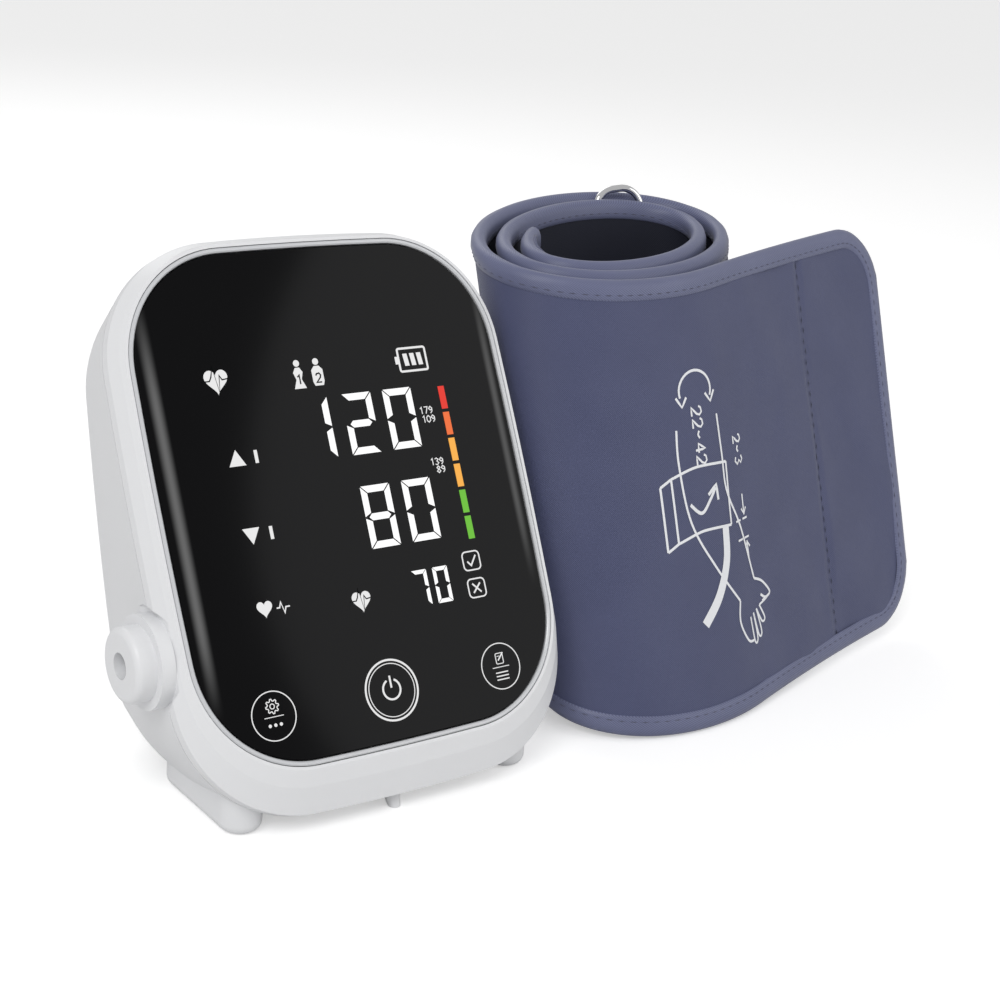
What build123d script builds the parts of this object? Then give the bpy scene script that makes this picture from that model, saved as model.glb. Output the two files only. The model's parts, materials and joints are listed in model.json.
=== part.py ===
from build123d import *
import os
from math import atan2, cos, degrees, hypot, pi, radians, sin, tan

# Upper arm blood pressure monitor with its rolled cuff.
# A white tilted monitor holds a black touch panel, a LED display, a pump, a valve, a pressure
# sensor and four AAA cells. The cuff stands rolled up beside it, its end flap to the right.
# Millimetres, +Z up, the front face looks towards -Y. The origin is the contact face of the
# small centre foot under the monitor's front edge.

os.makedirs("parts", exist_ok=True)

# Stance of the monitor
RECLINE = 28.0
LENS_HEIGHT = 74.0
LENS_SETBACK = 28.0

# Shells
WALL = 2.2
SEAM_Z = -7.4
SEAM_GAP = 0.3
OUTER_HALF_W = 56.6
OUTER_TOP = 67.1
OUTER_BOTTOM = 75.7
OUTER_CORNER = 32.0
SIDE_BOW = 1.6
END_BOW = 2.4
RIDGE_SIDE = 1.6
RIDGE_TOP = 1.6
RIDGE_BOTTOM = 6.4
RIDGE_Z = -1.2
SKIRT_Z = -4.6
RIM_Z = 0.2
RIM_LAND = 0.8
SHELL_DRAFT = 12.0
SHELL_REACH = 90.0
BASE_Z = 3.4
BASE_TILT = 4.0
BACK_Y = 67.0
BACK_TILT = 6.0
SHELL_ROUND = 7.0
REAR_ROUND = 12.0
LIP = 1.2
LIP_HEIGHT = 2.2
FIT = 0.2

# Touch panel
LENS_HALF_W = 51.7
LENS_HALF_H = 62.7
LENS_CORNER = 28.0
LENS_BOW = 1.2
LENS_THICK = 1.6
GASKET_THICK = 0.5
GASKET_WIDTH = 3.0
TRIM_WIDTH = 1.1
TRIM_RISE = 0.4
PLATE = 2.0
WINDOW_HALF_W = 39.0
WINDOW_TOP = 46.0
WINDOW_BOTTOM = 56.0
WINDOW_CORNER = 5.0

# Display and board
DISPLAY_HALF_W = 37.0
DISPLAY_TOP = 44.5
DISPLAY_BOTTOM = 41.0
DISPLAY_GAP = 0.6
BOARD_Z = -12.0
BOARD_THICK = 1.6
BOARD_HALF_W = 41.0
BOARD_TOP = 54.0
BOARD_BOTTOM = 61.0
BOARD_CORNER = 6.0
BOARD_POSTS = [(-30.0, 50.0), (30.0, 50.0), (-20.0, -58.0), (20.0, -58.0)]
POST_R = 2.6
BOARD_SCREW_R = 1.0
BOARD_SCREW_HEAD_R = 1.9
BOARD_SCREW_HEAD = 1.2
BOARD_SCREW_GRIP = 5.0
KEY_X = [-33.4, 0.0, 33.4]
KEY_Y = -50.2
KEY_PAD_R = 4.5
BUZZER_PLACE = (27.0, 30.0)
BUZZER_R = 6.0
BUZZER_HEIGHT = 4.2

# Housing screws
BOSS_PLACES = [(-44.5, 46.0), (44.5, 46.0), (-44.0, -54.0), (44.0, -54.0)]
BOSS_R = 4.2
BOSS_Z = -15.0
SCREW_R = 1.25
SCREW_HEAD_R = 2.5
SCREW_HEAD = 1.8
SCREW_SEAT = 2.5
SCREW_GRIP = 8.0
SCREW_PLAY = 0.05

# Air port on the left side
PORT_Y = -31.4
PORT_Z = -12.6
PORT_FACE_X = -63.8
PORT_STEP_X = -58.6
PORT_WALL_X = -55.0
PORT_PAD = 4.2
PORT_NOSE_R = 9.3
PORT_FLANGE_R = 11.6
PORT_RECESS_R = 13.4
PORT_BORE_R = 3.3
PORT_BORE = 12.0
PORT_NECK_R = 5.0
PORT_STEM_R = 3.4
PORT_STEM_X = -43.5
PORT_NOZZLE_X = -46.5
SEAL_THICK = 1.0
SEAL_R = 8.0

# Air system
NOZZLE = 5.0
TUBE_R = 2.4
TUBE_BORE_R = 1.6
AIR_HOLE_R = 0.9
BRANCH_HOLE_R = 0.75
TUBE_BEND = 8.0
PUMP_Y = 38.0
PUMP_Z = 24.0
PUMP_HEAD_R = 13.5
PUMP_HEAD_LEN = 26.0
PUMP_HEAD_X = -23.0
PUMP_CHAMBER_R = 8.0
PUMP_CHAMBER_LEN = 9.0
MOTOR_R = 12.0
MOTOR_LEN = 25.0
MOTOR_WALL = 2.5
ROTOR_R = 8.6
ROTOR_END = 1.0
SHAFT_R = 1.0
SHAFT_FIT = 0.08
CAM_R = 5.0
CAM_OFFSET = 1.4
CAM_LEN = 6.0
CRADLE_X = (-35.0, 13.0)
CRADLE_HALF = 10.0
MANIFOLD_X = (-20.0, 8.0)
MANIFOLD_Y = -14.0
MANIFOLD_DROP = 5.0
MANIFOLD_R = 3.0
MANIFOLD_FOOT = 5.0
SENSOR_X = -6.0
PUMP_BRANCH_X = -14.5
SENSOR_Y = 12.0
SENSOR_HALF = 4.0
SENSOR_HEIGHT = 7.6
VALVE_X = 38.0
VALVE_HALF = 7.0
VALVE_BASE_Z = 20.0
VALVE_LEN = 20.0
VALVE_WALL = 2.0
VALVE_NOZZLE_Z = 35.5
PLUNGER_R = 3.0
PLUNGER_FIT = 0.08
PLUNGER_GAP = 0.3
PLUNGER_LEN = 10.5
VALVE_SPRING_LEN = 4.0
VALVE_SPRING_R = 2.3
VALVE_SPRING_TURNS = 3.0
SPRING_WIRE_R = 0.3
SPRING_PLAY = 0.05

# Battery bay in the back wall
CELL_R = 5.25
CELL_LEN = 43.5
CELL_NUB_R = 1.9
CELL_NUB = 1.0
CELL_PITCH = 11.0
CELL_COUNT = 4
BAY_Z = 50.0
BAY_MARGIN = 0.3
CONTACT_ROOM = 3.6
CONTACT_THICK = 0.4
CONTACT_HALF = 3.6
BAY_WALL = 1.6
DOOR_THICK = 2.0
DOOR_GAP = 0.35
DOOR_LEDGE = 2.5
DOOR_CORNER = 1.0
HINGE_R = 1.5
HINGE_PIN_R = 0.8
HINGE_PIN_LEN = 3.0
HINGE_FIT = 0.1

# Feet
PAD_X = 39.5
PAD_Y = (8.0, 34.0)
PAD_HALF = 5.5
PAD_ROUND = 2.6
REAR_FOOT_X = 25.0
REAR_FOOT_Y = 46.0
REAR_LEG_R = 7.5
REAR_FOOT_R = 5.5
REAR_FOOT_THICK = 2.6
REAR_FOOT_PROUD = 1.2
NUB_TIP_R = 1.6
NUB_TOP_R = 3.0
NUB_TOP_Y = 4.4
NUB_TOP_Z = 6.5

# Cuff, in its own slightly tilted standing plane
CUFF_FRONT_Y = -5.6
CUFF_TILT = 8.1
CUFF_X = 116.0
CUFF_Y = 38.6
CUFF_TURN = 21.0
CUFF_OVAL_A = 54.0
CUFF_OVAL_B = 33.0
CUFF_PITCH = 6.6
CUFF_PITCH_LONG = 1.25
CUFF_TURNS = 2.4
TURN_STOPS = 24
FLAP_STOP = 8.0
FLAP_LEAVE = -92.0
FLAP_LEN = 94.0
FLAP_CURL = -6.0
CUFF_LEAN = (-8.0, 51.0, 115.0)
CUFF_HALF = 1.5
CORE_HALF = 0.5
BINDING_W = 6.0
BINDING_HALF = 1.9
BINDING_WRAP = 0.8
FLAP_CORNER = 20.0
PATCH_THICK = 0.8
CLOTH_FIT = 0.18
PATCH_MARGIN = 14.0
BLADDER_TURNS = (0.7, 1.9)
BLADDER_MARGIN = 9.0
HOOK_TURNS = (2.0, 2.3)
LOOP_LEN = 54.0
LOOP_INSET = 16.0
LOOP_MARGIN = 22.0
RING_TURN = 1.67
RING_WIRE_R = 1.1
RING_W = 15.0
RING_CORNER = 6.0
RING_PROUD = 5.0
TAB_R = 1.6
TAB_MARGIN = 22.0

UPRIGHT = Pos(0, LENS_SETBACK, LENS_HEIGHT)
FACE = UPRIGHT * Rot(90 - RECLINE, 0, 0)
BACK = Pos(0, BACK_Y + tan(radians(BACK_TILT)) * BAY_Z, BAY_Z) * Rot(-BACK_TILT, 0, 0)
CUFF = Pos(0, CUFF_FRONT_Y, 0) * Rot(CUFF_TILT, 0, 0)
ALONG_X = Rot(0, 90, 0)
ALONG_Y = Rot(-90, 0, 0)
FLOOR_Z = -LENS_THICK - GASKET_THICK
BOARD_BACK = BOARD_Z - BOARD_THICK
parts = {}


def bowed(half_w, top, bottom, bow_side, bow_end, corner):
    """Rounded outline whose four sides bulge a little."""
    x = half_w - bow_side
    low = bow_end - bottom
    high = top - bow_end
    corners = [(-x, high), (x, high), (x, low), (-x, low)]
    bulges = [(0, top), (half_w, (top - bottom) / 2), (0, -bottom), (-half_w, (top - bottom) / 2)]
    arcs = []
    for i in range(4):
        arcs.append(ThreePointArc(corners[i], bulges[i], corners[(i + 1) % 4]))
    face = make_face(arcs)
    return fillet(face.vertices(), corner)


def outer_outline(inset):
    return bowed(OUTER_HALF_W - inset, OUTER_TOP - inset, OUTER_BOTTOM - inset, SIDE_BOW, END_BOW,
                 OUTER_CORNER - inset)


def lens_outline(grow):
    return bowed(LENS_HALF_W + grow, LENS_HALF_H + grow, LENS_HALF_H + grow, LENS_BOW, LENS_BOW,
                 LENS_CORNER + grow)


def ridge_outline():
    return bowed(OUTER_HALF_W - RIDGE_SIDE, OUTER_TOP - RIDGE_TOP, OUTER_BOTTOM - RIDGE_BOTTOM,
                 SIDE_BOW, END_BOW, OUTER_CORNER - RIDGE_SIDE)


def slab(sketch, low, high):
    """Sketch extruded between two heights."""
    return extrude(Pos(0, 0, low) * sketch, high - low)


def rod(radius, low, high):
    """Round bar along local Z between two heights."""
    return Pos(0, 0, (low + high) / 2) * Cylinder(radius, high - low)


def block(x, y, z):
    """Box between two limits on each axis."""
    size = [v[1] - v[0] for v in (x, y, z)]
    mid = [(v[1] + v[0]) / 2 for v in (x, y, z)]
    return Pos(*mid) * Box(*size)


def to_face(y, z):
    """Height and depth on the tilted face of a world Y and Z."""
    a = radians(RECLINE)
    dy = y - LENS_SETBACK
    dz = z - LENS_HEIGHT
    return dy * sin(a) + dz * cos(a), dz * sin(a) - dy * cos(a)


def envelope(inset):
    """Upright form in front of the back wall and above the base, that cuts the drafted shell."""
    back_slope = tan(radians(BACK_TILT))
    base_slope = tan(radians(BASE_TILT))
    high = 2 * LENS_HEIGHT + 20
    back = BACK_Y - inset / cos(radians(BACK_TILT))
    base = BASE_Z + inset / cos(radians(BASE_TILT))
    corner_y = (back + back_slope * base) / (1 - back_slope * base_slope)
    corner_z = base + base_slope * corner_y
    front = -60.0
    side = Polygon((front, base + base_slope * front), (corner_y, corner_z),
                   (back + back_slope * high, high), (front, high), align=None)
    corner = side.vertices().sort_by_distance((corner_y, corner_z, 0))[0]
    side = fillet(corner, REAR_ROUND - inset)
    return extrude(Plane.YZ * side, OUTER_HALF_W + 10, both=True)


def rear_solid(inset):
    """Outer form of the rear housing, moved inwards by inset."""
    taper = SHELL_REACH * tan(radians(SHELL_DRAFT))
    front_z = SEAM_Z - SEAM_GAP
    front = Pos(0, 0, front_z) * outer_outline(inset)
    rear = Pos(0, 0, SEAM_Z - SHELL_REACH) * outer_outline(inset + taper)
    body = (FACE * loft([front, rear])) & envelope(inset)
    cut = envelope(inset)
    rim = []
    for f in body.faces():
        m = f.position_at(0.5, 0.5)
        if min(g.distance_to(m) for g in cut.faces()) > 0.01:
            continue
        rim.extend(f.edges())
    rim = [e for e in rim if sum(e.is_same(o) for o in rim) == 1]
    rim = [e for e in rim if to_face((e @ 0.5).Y, (e @ 0.5).Z)[1] < front_z - 0.5]
    return fillet(rim, SHELL_ROUND - inset)


def bezel_solid():
    """Outer form of the front bezel."""
    skirt = slab(outer_outline(0), SEAM_Z, SKIRT_Z)
    shoulder = loft([Pos(0, 0, SKIRT_Z) * outer_outline(0), Pos(0, 0, RIDGE_Z) * ridge_outline()])
    land = lens_outline(FIT + TRIM_WIDTH + FIT + RIM_LAND)
    crown = loft([Pos(0, 0, RIDGE_Z) * ridge_outline(), Pos(0, 0, RIM_Z) * land])
    return skirt + shoulder + crown


def spread(places, make):
    """One copy of a shape at each place."""
    shape = None
    for x, y in places:
        item = Pos(x, y, 0) * make
        shape = item if shape is None else shape + item
    return shape


def make_front():
    """Bezel with its lens pocket, window, bosses and board posts."""
    pocket = lens_outline(FIT + TRIM_WIDTH + FIT)
    window_y = (WINDOW_TOP - WINDOW_BOTTOM) / 2
    window = Pos(0, window_y) * RectangleRounded(2 * WINDOW_HALF_W, WINDOW_TOP + WINDOW_BOTTOM,
                                                 WINDOW_CORNER)
    under = FLOOR_Z - PLATE
    body = bezel_solid()
    cavity = lens_outline(-1.0)
    skirt_room = outer_outline(WALL)
    body = body - slab(skirt_room, SEAM_Z - 1, SKIRT_Z)
    body = body - loft([Pos(0, 0, SKIRT_Z) * skirt_room, Pos(0, 0, under) * cavity])
    body = body - slab(pocket, FLOOR_Z, RIM_Z + 1)
    body = body - slab(window, under - 1, FLOOR_Z + 1)
    body = body + spread(BOSS_PLACES, rod(BOSS_R, BOSS_Z, under + 0.5))
    body = body + spread(BOARD_POSTS, rod(POST_R, BOARD_Z, under + 0.5))
    body = body - spread(BOSS_PLACES, rod(SCREW_R + SCREW_PLAY, BOSS_Z - 1, BOSS_Z + SCREW_GRIP + 0.5))
    post_hole = rod(BOARD_SCREW_R + SCREW_PLAY, BOARD_Z - 1, BOARD_Z + BOARD_SCREW_GRIP + 0.5)
    body = body - spread(BOARD_POSTS, post_hole)
    recess = Pos(PORT_WALL_X, PORT_Y, PORT_Z) * ALONG_X * rod(PORT_RECESS_R, -20, 0)
    parts["front_bezel"] = FACE * (body - recess)

    trim_in = lens_outline(FIT)
    trim_out = lens_outline(FIT + TRIM_WIDTH)
    trim = slab(trim_out - trim_in, FLOOR_Z, TRIM_RISE)
    top = trim.faces().sort_by(Axis.Z)[-1]
    parts["panel_trim"] = FACE * chamfer(top.edges(), 0.3)
    lens = slab(lens_outline(0), -LENS_THICK, 0)
    lens_top = lens.faces().sort_by(Axis.Z)[-1]
    parts["touch_panel"] = FACE * chamfer(lens_top.edges(), 0.3)
    ring = lens_outline(-0.4) - lens_outline(-0.4 - GASKET_WIDTH)
    parts["panel_gasket"] = FACE * slab(ring, FLOOR_Z, -LENS_THICK)


def make_board():
    """Display, board and what is soldered to it."""
    high = FLOOR_Z - PLATE - DISPLAY_GAP
    display = block((-DISPLAY_HALF_W, DISPLAY_HALF_W), (-DISPLAY_BOTTOM, DISPLAY_TOP), (BOARD_Z, high))
    face = display.faces().sort_by(Axis.Z)[-1]
    display = chamfer(face.edges(), 0.8)
    parts["display_module"] = FACE * display

    mid = (BOARD_TOP - BOARD_BOTTOM) / 2
    outline = Pos(0, mid) * RectangleRounded(2 * BOARD_HALF_W, BOARD_TOP + BOARD_BOTTOM, BOARD_CORNER)
    board = slab(outline, BOARD_BACK, BOARD_Z)
    board = board - spread(BOSS_PLACES, rod(BOSS_R + 2 * FIT, BOARD_BACK - 1, BOARD_Z + 1))
    hole = rod(BOARD_SCREW_R + SCREW_PLAY, BOARD_BACK - 1, BOARD_Z + 1)
    board = board - spread(BOARD_POSTS, hole)
    chips = block((8, 20), (-2, 10), (BOARD_BACK - 1.4, BOARD_BACK))
    chips = chips + block((-30, -22), (18, 26), (BOARD_BACK - 1.8, BOARD_BACK))
    parts["main_board"] = FACE * (board + chips)

    for i, (x, y) in enumerate(BOARD_POSTS):
        head = rod(BOARD_SCREW_HEAD_R, BOARD_BACK - BOARD_SCREW_HEAD, BOARD_BACK)
        shank = rod(BOARD_SCREW_R, BOARD_BACK, BOARD_Z + BOARD_SCREW_GRIP)
        slot = block((-1.4, 1.4), (-0.25, 0.25), (BOARD_BACK - BOARD_SCREW_HEAD - 1,
                                                  BOARD_BACK - BOARD_SCREW_HEAD + 0.6))
        parts[f"board_screw_{i + 1}"] = FACE * Pos(x, y, 0) * (head + shank - slot)

    for i, x in enumerate(KEY_X):
        pad = Pos(x, KEY_Y, 0) * rod(KEY_PAD_R, BOARD_Z, -LENS_THICK)
        parts[f"key_pad_{i + 1}"] = FACE * pad

    bx, by = BUZZER_PLACE
    buzzer = rod(BUZZER_R, BOARD_BACK - BUZZER_HEIGHT, BOARD_BACK)
    buzzer = buzzer - rod(1.2, BOARD_BACK - BUZZER_HEIGHT - 1, BOARD_BACK - 1.5)
    parts["buzzer"] = FACE * Pos(bx, by, 0) * buzzer


def tube(points_a, dir_a, points_b, dir_b, bend):
    """Hose between two nozzles, given by their roots and the ways they point."""
    a0 = Vector(*points_a)
    a1 = a0 + Vector(*dir_a) * NOZZLE
    b0 = Vector(*points_b)
    b1 = b0 + Vector(*dir_b) * NOZZLE
    middle = Bezier(a1, a1 + Vector(*dir_a) * bend, b1 + Vector(*dir_b) * bend, b1)
    path = Wire([Edge.make_line(a0, a1), middle.edge(), Edge.make_line(b1, b0)])
    start = Plane(origin=a0, z_dir=Vector(*dir_a))
    outer = sweep(start * Circle(TUBE_R), path=path)
    inner = sweep(start * Circle(TUBE_BORE_R), path=path)
    return outer - inner


def make_air():
    """Port, manifold, sensor, pump, valve and the hoses between them, in the face frame."""
    side = Pos(0, PORT_Y, PORT_Z) * ALONG_X
    neck_end = PORT_WALL_X + PORT_PAD + SEAL_THICK
    port = rod(PORT_NOSE_R, PORT_FACE_X, PORT_STEP_X)
    nose = port.faces().sort_by(Axis.Z)[0]
    port = fillet(nose.edges(), 1.6)
    port = port + rod(PORT_FLANGE_R, PORT_STEP_X, PORT_WALL_X)
    port = port + rod(PORT_NECK_R, PORT_WALL_X, neck_end)
    port = port + rod(PORT_STEM_R, neck_end, PORT_STEM_X)
    port = port - rod(PORT_BORE_R, PORT_FACE_X - 1, PORT_FACE_X + PORT_BORE)
    port = port - rod(AIR_HOLE_R, PORT_FACE_X, PORT_NOZZLE_X + AIR_HOLE_R)
    root = PORT_Z - PORT_STEM_R
    spout = Pos(PORT_NOZZLE_X, PORT_Y, 0) * rod(TUBE_BORE_R, root - NOZZLE, PORT_Z)
    spout_hole = Pos(PORT_NOZZLE_X, PORT_Y, 0) * rod(AIR_HOLE_R, root - NOZZLE - 1, PORT_Z)
    parts["air_port"] = FACE * (side * port + spout - spout_hole)
    seal = rod(SEAL_R, PORT_WALL_X + PORT_PAD, neck_end) - rod(PORT_NECK_R, -80, 0)
    parts["port_seal"] = FACE * side * seal

    mx0, mx1 = MANIFOLD_X
    mid_x = SENSOR_X
    mz = BOARD_BACK - MANIFOLD_DROP
    along = Pos(0, MANIFOLD_Y, mz) * ALONG_X
    pump_y, pump_z = to_face(PUMP_Y, PUMP_Z)
    dy = pump_y - MANIFOLD_Y
    dz = pump_z - mz
    reach = hypot(dy, dz)
    uy = dy / reach
    uz = dz / reach
    aim = Rot(degrees(atan2(-uy, uz)), 0, 0)
    to_pump = Pos(PUMP_BRANCH_X, MANIFOLD_Y, mz) * aim
    man = along * rod(MANIFOLD_R, mx0, mx1)
    man = man + along * rod(TUBE_BORE_R, mx0 - NOZZLE, mx1 + NOZZLE)
    man = man + Pos(mid_x, MANIFOLD_Y, mz) * ALONG_Y * rod(TUBE_BORE_R, 0, MANIFOLD_R + NOZZLE)
    man = man + to_pump * rod(TUBE_BORE_R, 0, MANIFOLD_R + NOZZLE)
    for x in (mx0 + MANIFOLD_FOOT, mx1 - MANIFOLD_FOOT):
        man = man + block((x - 2.5, x + 2.5), (MANIFOLD_Y - 2.4, MANIFOLD_Y + 2.4), (mz, BOARD_BACK))
    man = man - along * rod(AIR_HOLE_R, mx0 - NOZZLE - 1, mx1 + NOZZLE + 1)
    branch = rod(BRANCH_HOLE_R, -0.4, MANIFOLD_R + NOZZLE + 1)
    man = man - Pos(mid_x, MANIFOLD_Y, mz) * ALONG_Y * branch
    man = man - to_pump * branch
    parts["air_manifold"] = FACE * man

    sy0 = SENSOR_Y - SENSOR_HALF
    sensor = block((SENSOR_X - SENSOR_HALF, SENSOR_X + SENSOR_HALF), (sy0, SENSOR_Y + SENSOR_HALF),
                   (BOARD_BACK - SENSOR_HEIGHT, BOARD_BACK))
    inlet = Pos(SENSOR_X, sy0, mz) * ALONG_Y
    sensor = sensor + inlet * rod(TUBE_BORE_R, -NOZZLE, 0.5)
    sensor = sensor - inlet * rod(AIR_HOLE_R, -NOZZLE - 1, 1.5)
    parts["pressure_sensor"] = FACE * sensor
    hose = rod(TUBE_R, MANIFOLD_Y + MANIFOLD_R, sy0) - rod(TUBE_BORE_R, MANIFOLD_Y, sy0 + 1)
    parts["sensor_tube"] = FACE * Pos(SENSOR_X, 0, mz) * ALONG_Y * hose
    hose = rod(TUBE_R, MANIFOLD_R, reach - PUMP_HEAD_R) - rod(TUBE_BORE_R, 0, reach)
    hose = hose - rod(MANIFOLD_R, -50, 50).moved(Location((0, 0, 0), (0, 90, 0)))
    pump_bar = Pos(0, 0, reach) * ALONG_X * rod(PUMP_HEAD_R, -30, 30)
    parts["pump_tube"] = FACE * to_pump * (hose - pump_bar)
    parts["port_tube"] = FACE * tube((PORT_NOZZLE_X, PORT_Y, root), (0, 0, -1),
                                     (mx0, MANIFOLD_Y, mz), (-1, 0, 0), TUBE_BEND)
    vy, vz = to_face(PUMP_Y, VALVE_NOZZLE_Z)
    parts["valve_tube"] = FACE * tube((mx1, MANIFOLD_Y, mz), (1, 0, 0),
                                      (VALVE_X - VALVE_HALF, vy, vz), (-1, 0, 0), TUBE_BEND)
    return to_pump, reach


def make_pump(to_pump, reach):
    """Pump head, motor and rotor, lying along X in the upright frame."""
    axis = Pos(0, PUMP_Y, PUMP_Z) * ALONG_X
    h0 = PUMP_HEAD_X - PUMP_HEAD_LEN / 2
    h1 = PUMP_HEAD_X + PUMP_HEAD_LEN / 2
    m1 = h1 + MOTOR_LEN
    head = axis * rod(PUMP_HEAD_R, h0, h1)
    ends = [e for e in head.edges() if abs((e @ 0.25).X - h0) < 0.01]
    head = fillet(ends, 1.5)
    nozzle = FACE * to_pump * rod(TUBE_BORE_R, reach - PUMP_HEAD_R - NOZZLE, reach - PUMP_HEAD_R + 2)
    hole = FACE * to_pump * rod(AIR_HOLE_R, reach - PUMP_HEAD_R - NOZZLE - 1, reach - PUMP_CHAMBER_R)
    head = head + nozzle - hole
    head = head - axis * rod(PUMP_CHAMBER_R, h1 - PUMP_CHAMBER_LEN, h1 - 1.5)
    head = head - axis * rod(SHAFT_R + SHAFT_FIT, h1 - PUMP_CHAMBER_LEN, h1 + 1)
    parts["pump_head"] = head
    motor = axis * rod(MOTOR_R, h1, m1)
    ends = [e for e in motor.edges() if abs((e @ 0.25).X - m1) < 0.01]
    motor = fillet(ends, 1.0)
    motor = motor - axis * rod(MOTOR_R - MOTOR_WALL, h1 + MOTOR_WALL, m1 - MOTOR_WALL)
    motor = motor - axis * rod(SHAFT_R + SHAFT_FIT, h1 - 1, m1 + 1)
    motor = motor + axis * (rod(3.0, m1, m1 + 1.5) - rod(SHAFT_R + SHAFT_FIT, m1 - 1, m1 + 2))
    parts["pump_motor"] = motor
    rotor = rod(SHAFT_R, h1 - PUMP_CHAMBER_LEN + 1, m1 + 1.0)
    rotor = rotor + rod(ROTOR_R, h1 + MOTOR_WALL + ROTOR_END, m1 - MOTOR_WALL - ROTOR_END)
    cam0 = h1 - PUMP_CHAMBER_LEN + 0.8
    rotor = rotor + Pos(CAM_OFFSET, 0, 0) * rod(CAM_R, cam0, cam0 + CAM_LEN)
    parts["pump_rotor"] = axis * rotor

    x0, x1 = CRADLE_X
    cradle = block((x0, x1), (PUMP_Y - CRADLE_HALF, PUMP_Y + CRADLE_HALF), (0, PUMP_Z - 6))
    cradle = (cradle & rear_solid(WALL)) - axis * rod(PUMP_HEAD_R, h0 - 30, h1)
    parts["pump_cradle"] = cradle - axis * rod(MOTOR_R, h1 - 1, m1 + 20)


def make_valve():
    """Release valve with its plunger and spring, standing in the upright frame."""
    place = Pos(VALVE_X, PUMP_Y, VALVE_BASE_Z)
    bore_low = VALVE_WALL
    bore_high = bore_low + VALVE_SPRING_LEN + PLUNGER_LEN + PLUNGER_GAP
    body = block((-VALVE_HALF, VALVE_HALF), (-VALVE_HALF, VALVE_HALF), (0, VALVE_LEN))
    body = fillet(body.edges().filter_by(Axis.Z), 1.5)
    body = body - rod(PLUNGER_R + PLUNGER_FIT, bore_low, bore_high)
    body = body - rod(AIR_HOLE_R, bore_high - 1, VALVE_LEN + 1)
    inlet = Pos(0, 0, VALVE_NOZZLE_Z - VALVE_BASE_Z) * ALONG_X
    body = body + inlet * rod(TUBE_BORE_R, -VALVE_HALF - NOZZLE, -VALVE_HALF + 0.5)
    body = body - inlet * rod(AIR_HOLE_R, -VALVE_HALF - NOZZLE - 1, -PLUNGER_R)
    parts["valve_body"] = place * body
    base = bore_low + VALVE_SPRING_LEN
    plunger = rod(PLUNGER_R, base, base + PLUNGER_LEN)
    plunger = plunger - rod(1.2, base + PLUNGER_LEN - 2, base + PLUNGER_LEN + 1)
    parts["valve_plunger"] = place * plunger
    rise = VALVE_SPRING_LEN - 2 * SPRING_WIRE_R - SPRING_PLAY
    coil = Helix(rise / VALVE_SPRING_TURNS, rise, VALVE_SPRING_R)
    start = Plane(origin=coil @ 0, z_dir=coil % 0)
    spring = sweep(start * RegularPolygon(SPRING_WIRE_R, 6), path=coil, is_frenet=True)
    parts["valve_spring"] = place * Pos(0, 0, bore_low + SPRING_WIRE_R) * spring


def bay_sizes():
    half_x = (CELL_COUNT - 1) / 2 * CELL_PITCH + CELL_R + BAY_MARGIN
    half_z = CELL_LEN / 2 + CONTACT_ROOM
    cell_y = -(DOOR_THICK + DOOR_GAP + BAY_MARGIN + CELL_R)
    deep = cell_y - CELL_R - BAY_MARGIN
    return half_x, half_z, cell_y, deep


def make_batteries():
    """Four cells, their contacts and the hinged door, in the frame of the back wall."""
    half_x, half_z, cell_y, deep = bay_sizes()
    contacts = None
    for i in range(CELL_COUNT):
        x = (i - (CELL_COUNT - 1) / 2) * CELL_PITCH
        flip = 1 if i % 2 == 0 else -1
        cell = rod(CELL_R, -CELL_LEN / 2, CELL_LEN / 2 - CELL_NUB)
        cell = chamfer(cell.edges().filter_by(GeomType.CIRCLE), 0.4)
        cell = cell + rod(CELL_NUB_R, CELL_LEN / 2 - CELL_NUB - 0.5, CELL_LEN / 2)
        turn = Rot(0, 0, 0) if flip > 0 else Rot(180, 0, 0)
        parts[f"battery_{i + 1}"] = BACK * Pos(x, cell_y, 0) * turn * cell
        for end in (1, -1):
            w = CONTACT_HALF
            t = CONTACT_THICK
            depth = CONTACT_ROOM
            bow = Polyline((-w, -depth), (-1.2, 0), (1.2, 0), (w, -depth))
            leaf = make_face([bow, Line((w, -depth), (w - t, -depth)),
                              Polyline((w - t, -depth), (1.0, -t), (-1.0, -t), (t - w, -depth)),
                              Line((t - w, -depth), (-w, -depth))])
            plate = Pos(0, -depth + t / 2) * Rectangle(2 * w, t)
            strip = extrude(Plane.XZ * (leaf + plate), w, both=True)
            spot = Pos(x, cell_y, -half_z + depth)
            if end >= 0:
                spot = Pos(x, cell_y, half_z - depth) * Rot(180, 0, 0)
            item = BACK * spot * strip
            contacts = item if contacts is None else contacts + item
    parts["battery_contacts"] = contacts

    dx = half_x + DOOR_LEDGE
    dz = half_z + DOOR_LEDGE
    hinge_z = -dz + HINGE_R
    knuckle_y = -HINGE_R
    hinge = Pos(0, knuckle_y, hinge_z) * ALONG_X
    door = block((-dx, dx), (-DOOR_THICK, 0), (hinge_z, dz))
    top = [e for e in door.edges().filter_by(Axis.Y) if (e @ 0.5).Z > 0]
    door = fillet(top, DOOR_CORNER)
    door = door + hinge * rod(HINGE_R, -dx, dx)
    door = door + hinge * rod(HINGE_PIN_R, -dx - HINGE_PIN_LEN, dx + HINGE_PIN_LEN)
    grip = Pos(0, 0, dz - 7) * ALONG_X * rod(1.0, -8, 8)
    door = door - grip
    for k in range(2):
        rib = block((-half_x + 4, half_x - 4), (-DOOR_THICK - 0.25, -DOOR_THICK), (-8 + 14 * k, -7 + 14 * k))
        door = door + rib
    parts["battery_door"] = BACK * door
    return dx, dz, hinge_z, knuckle_y


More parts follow.
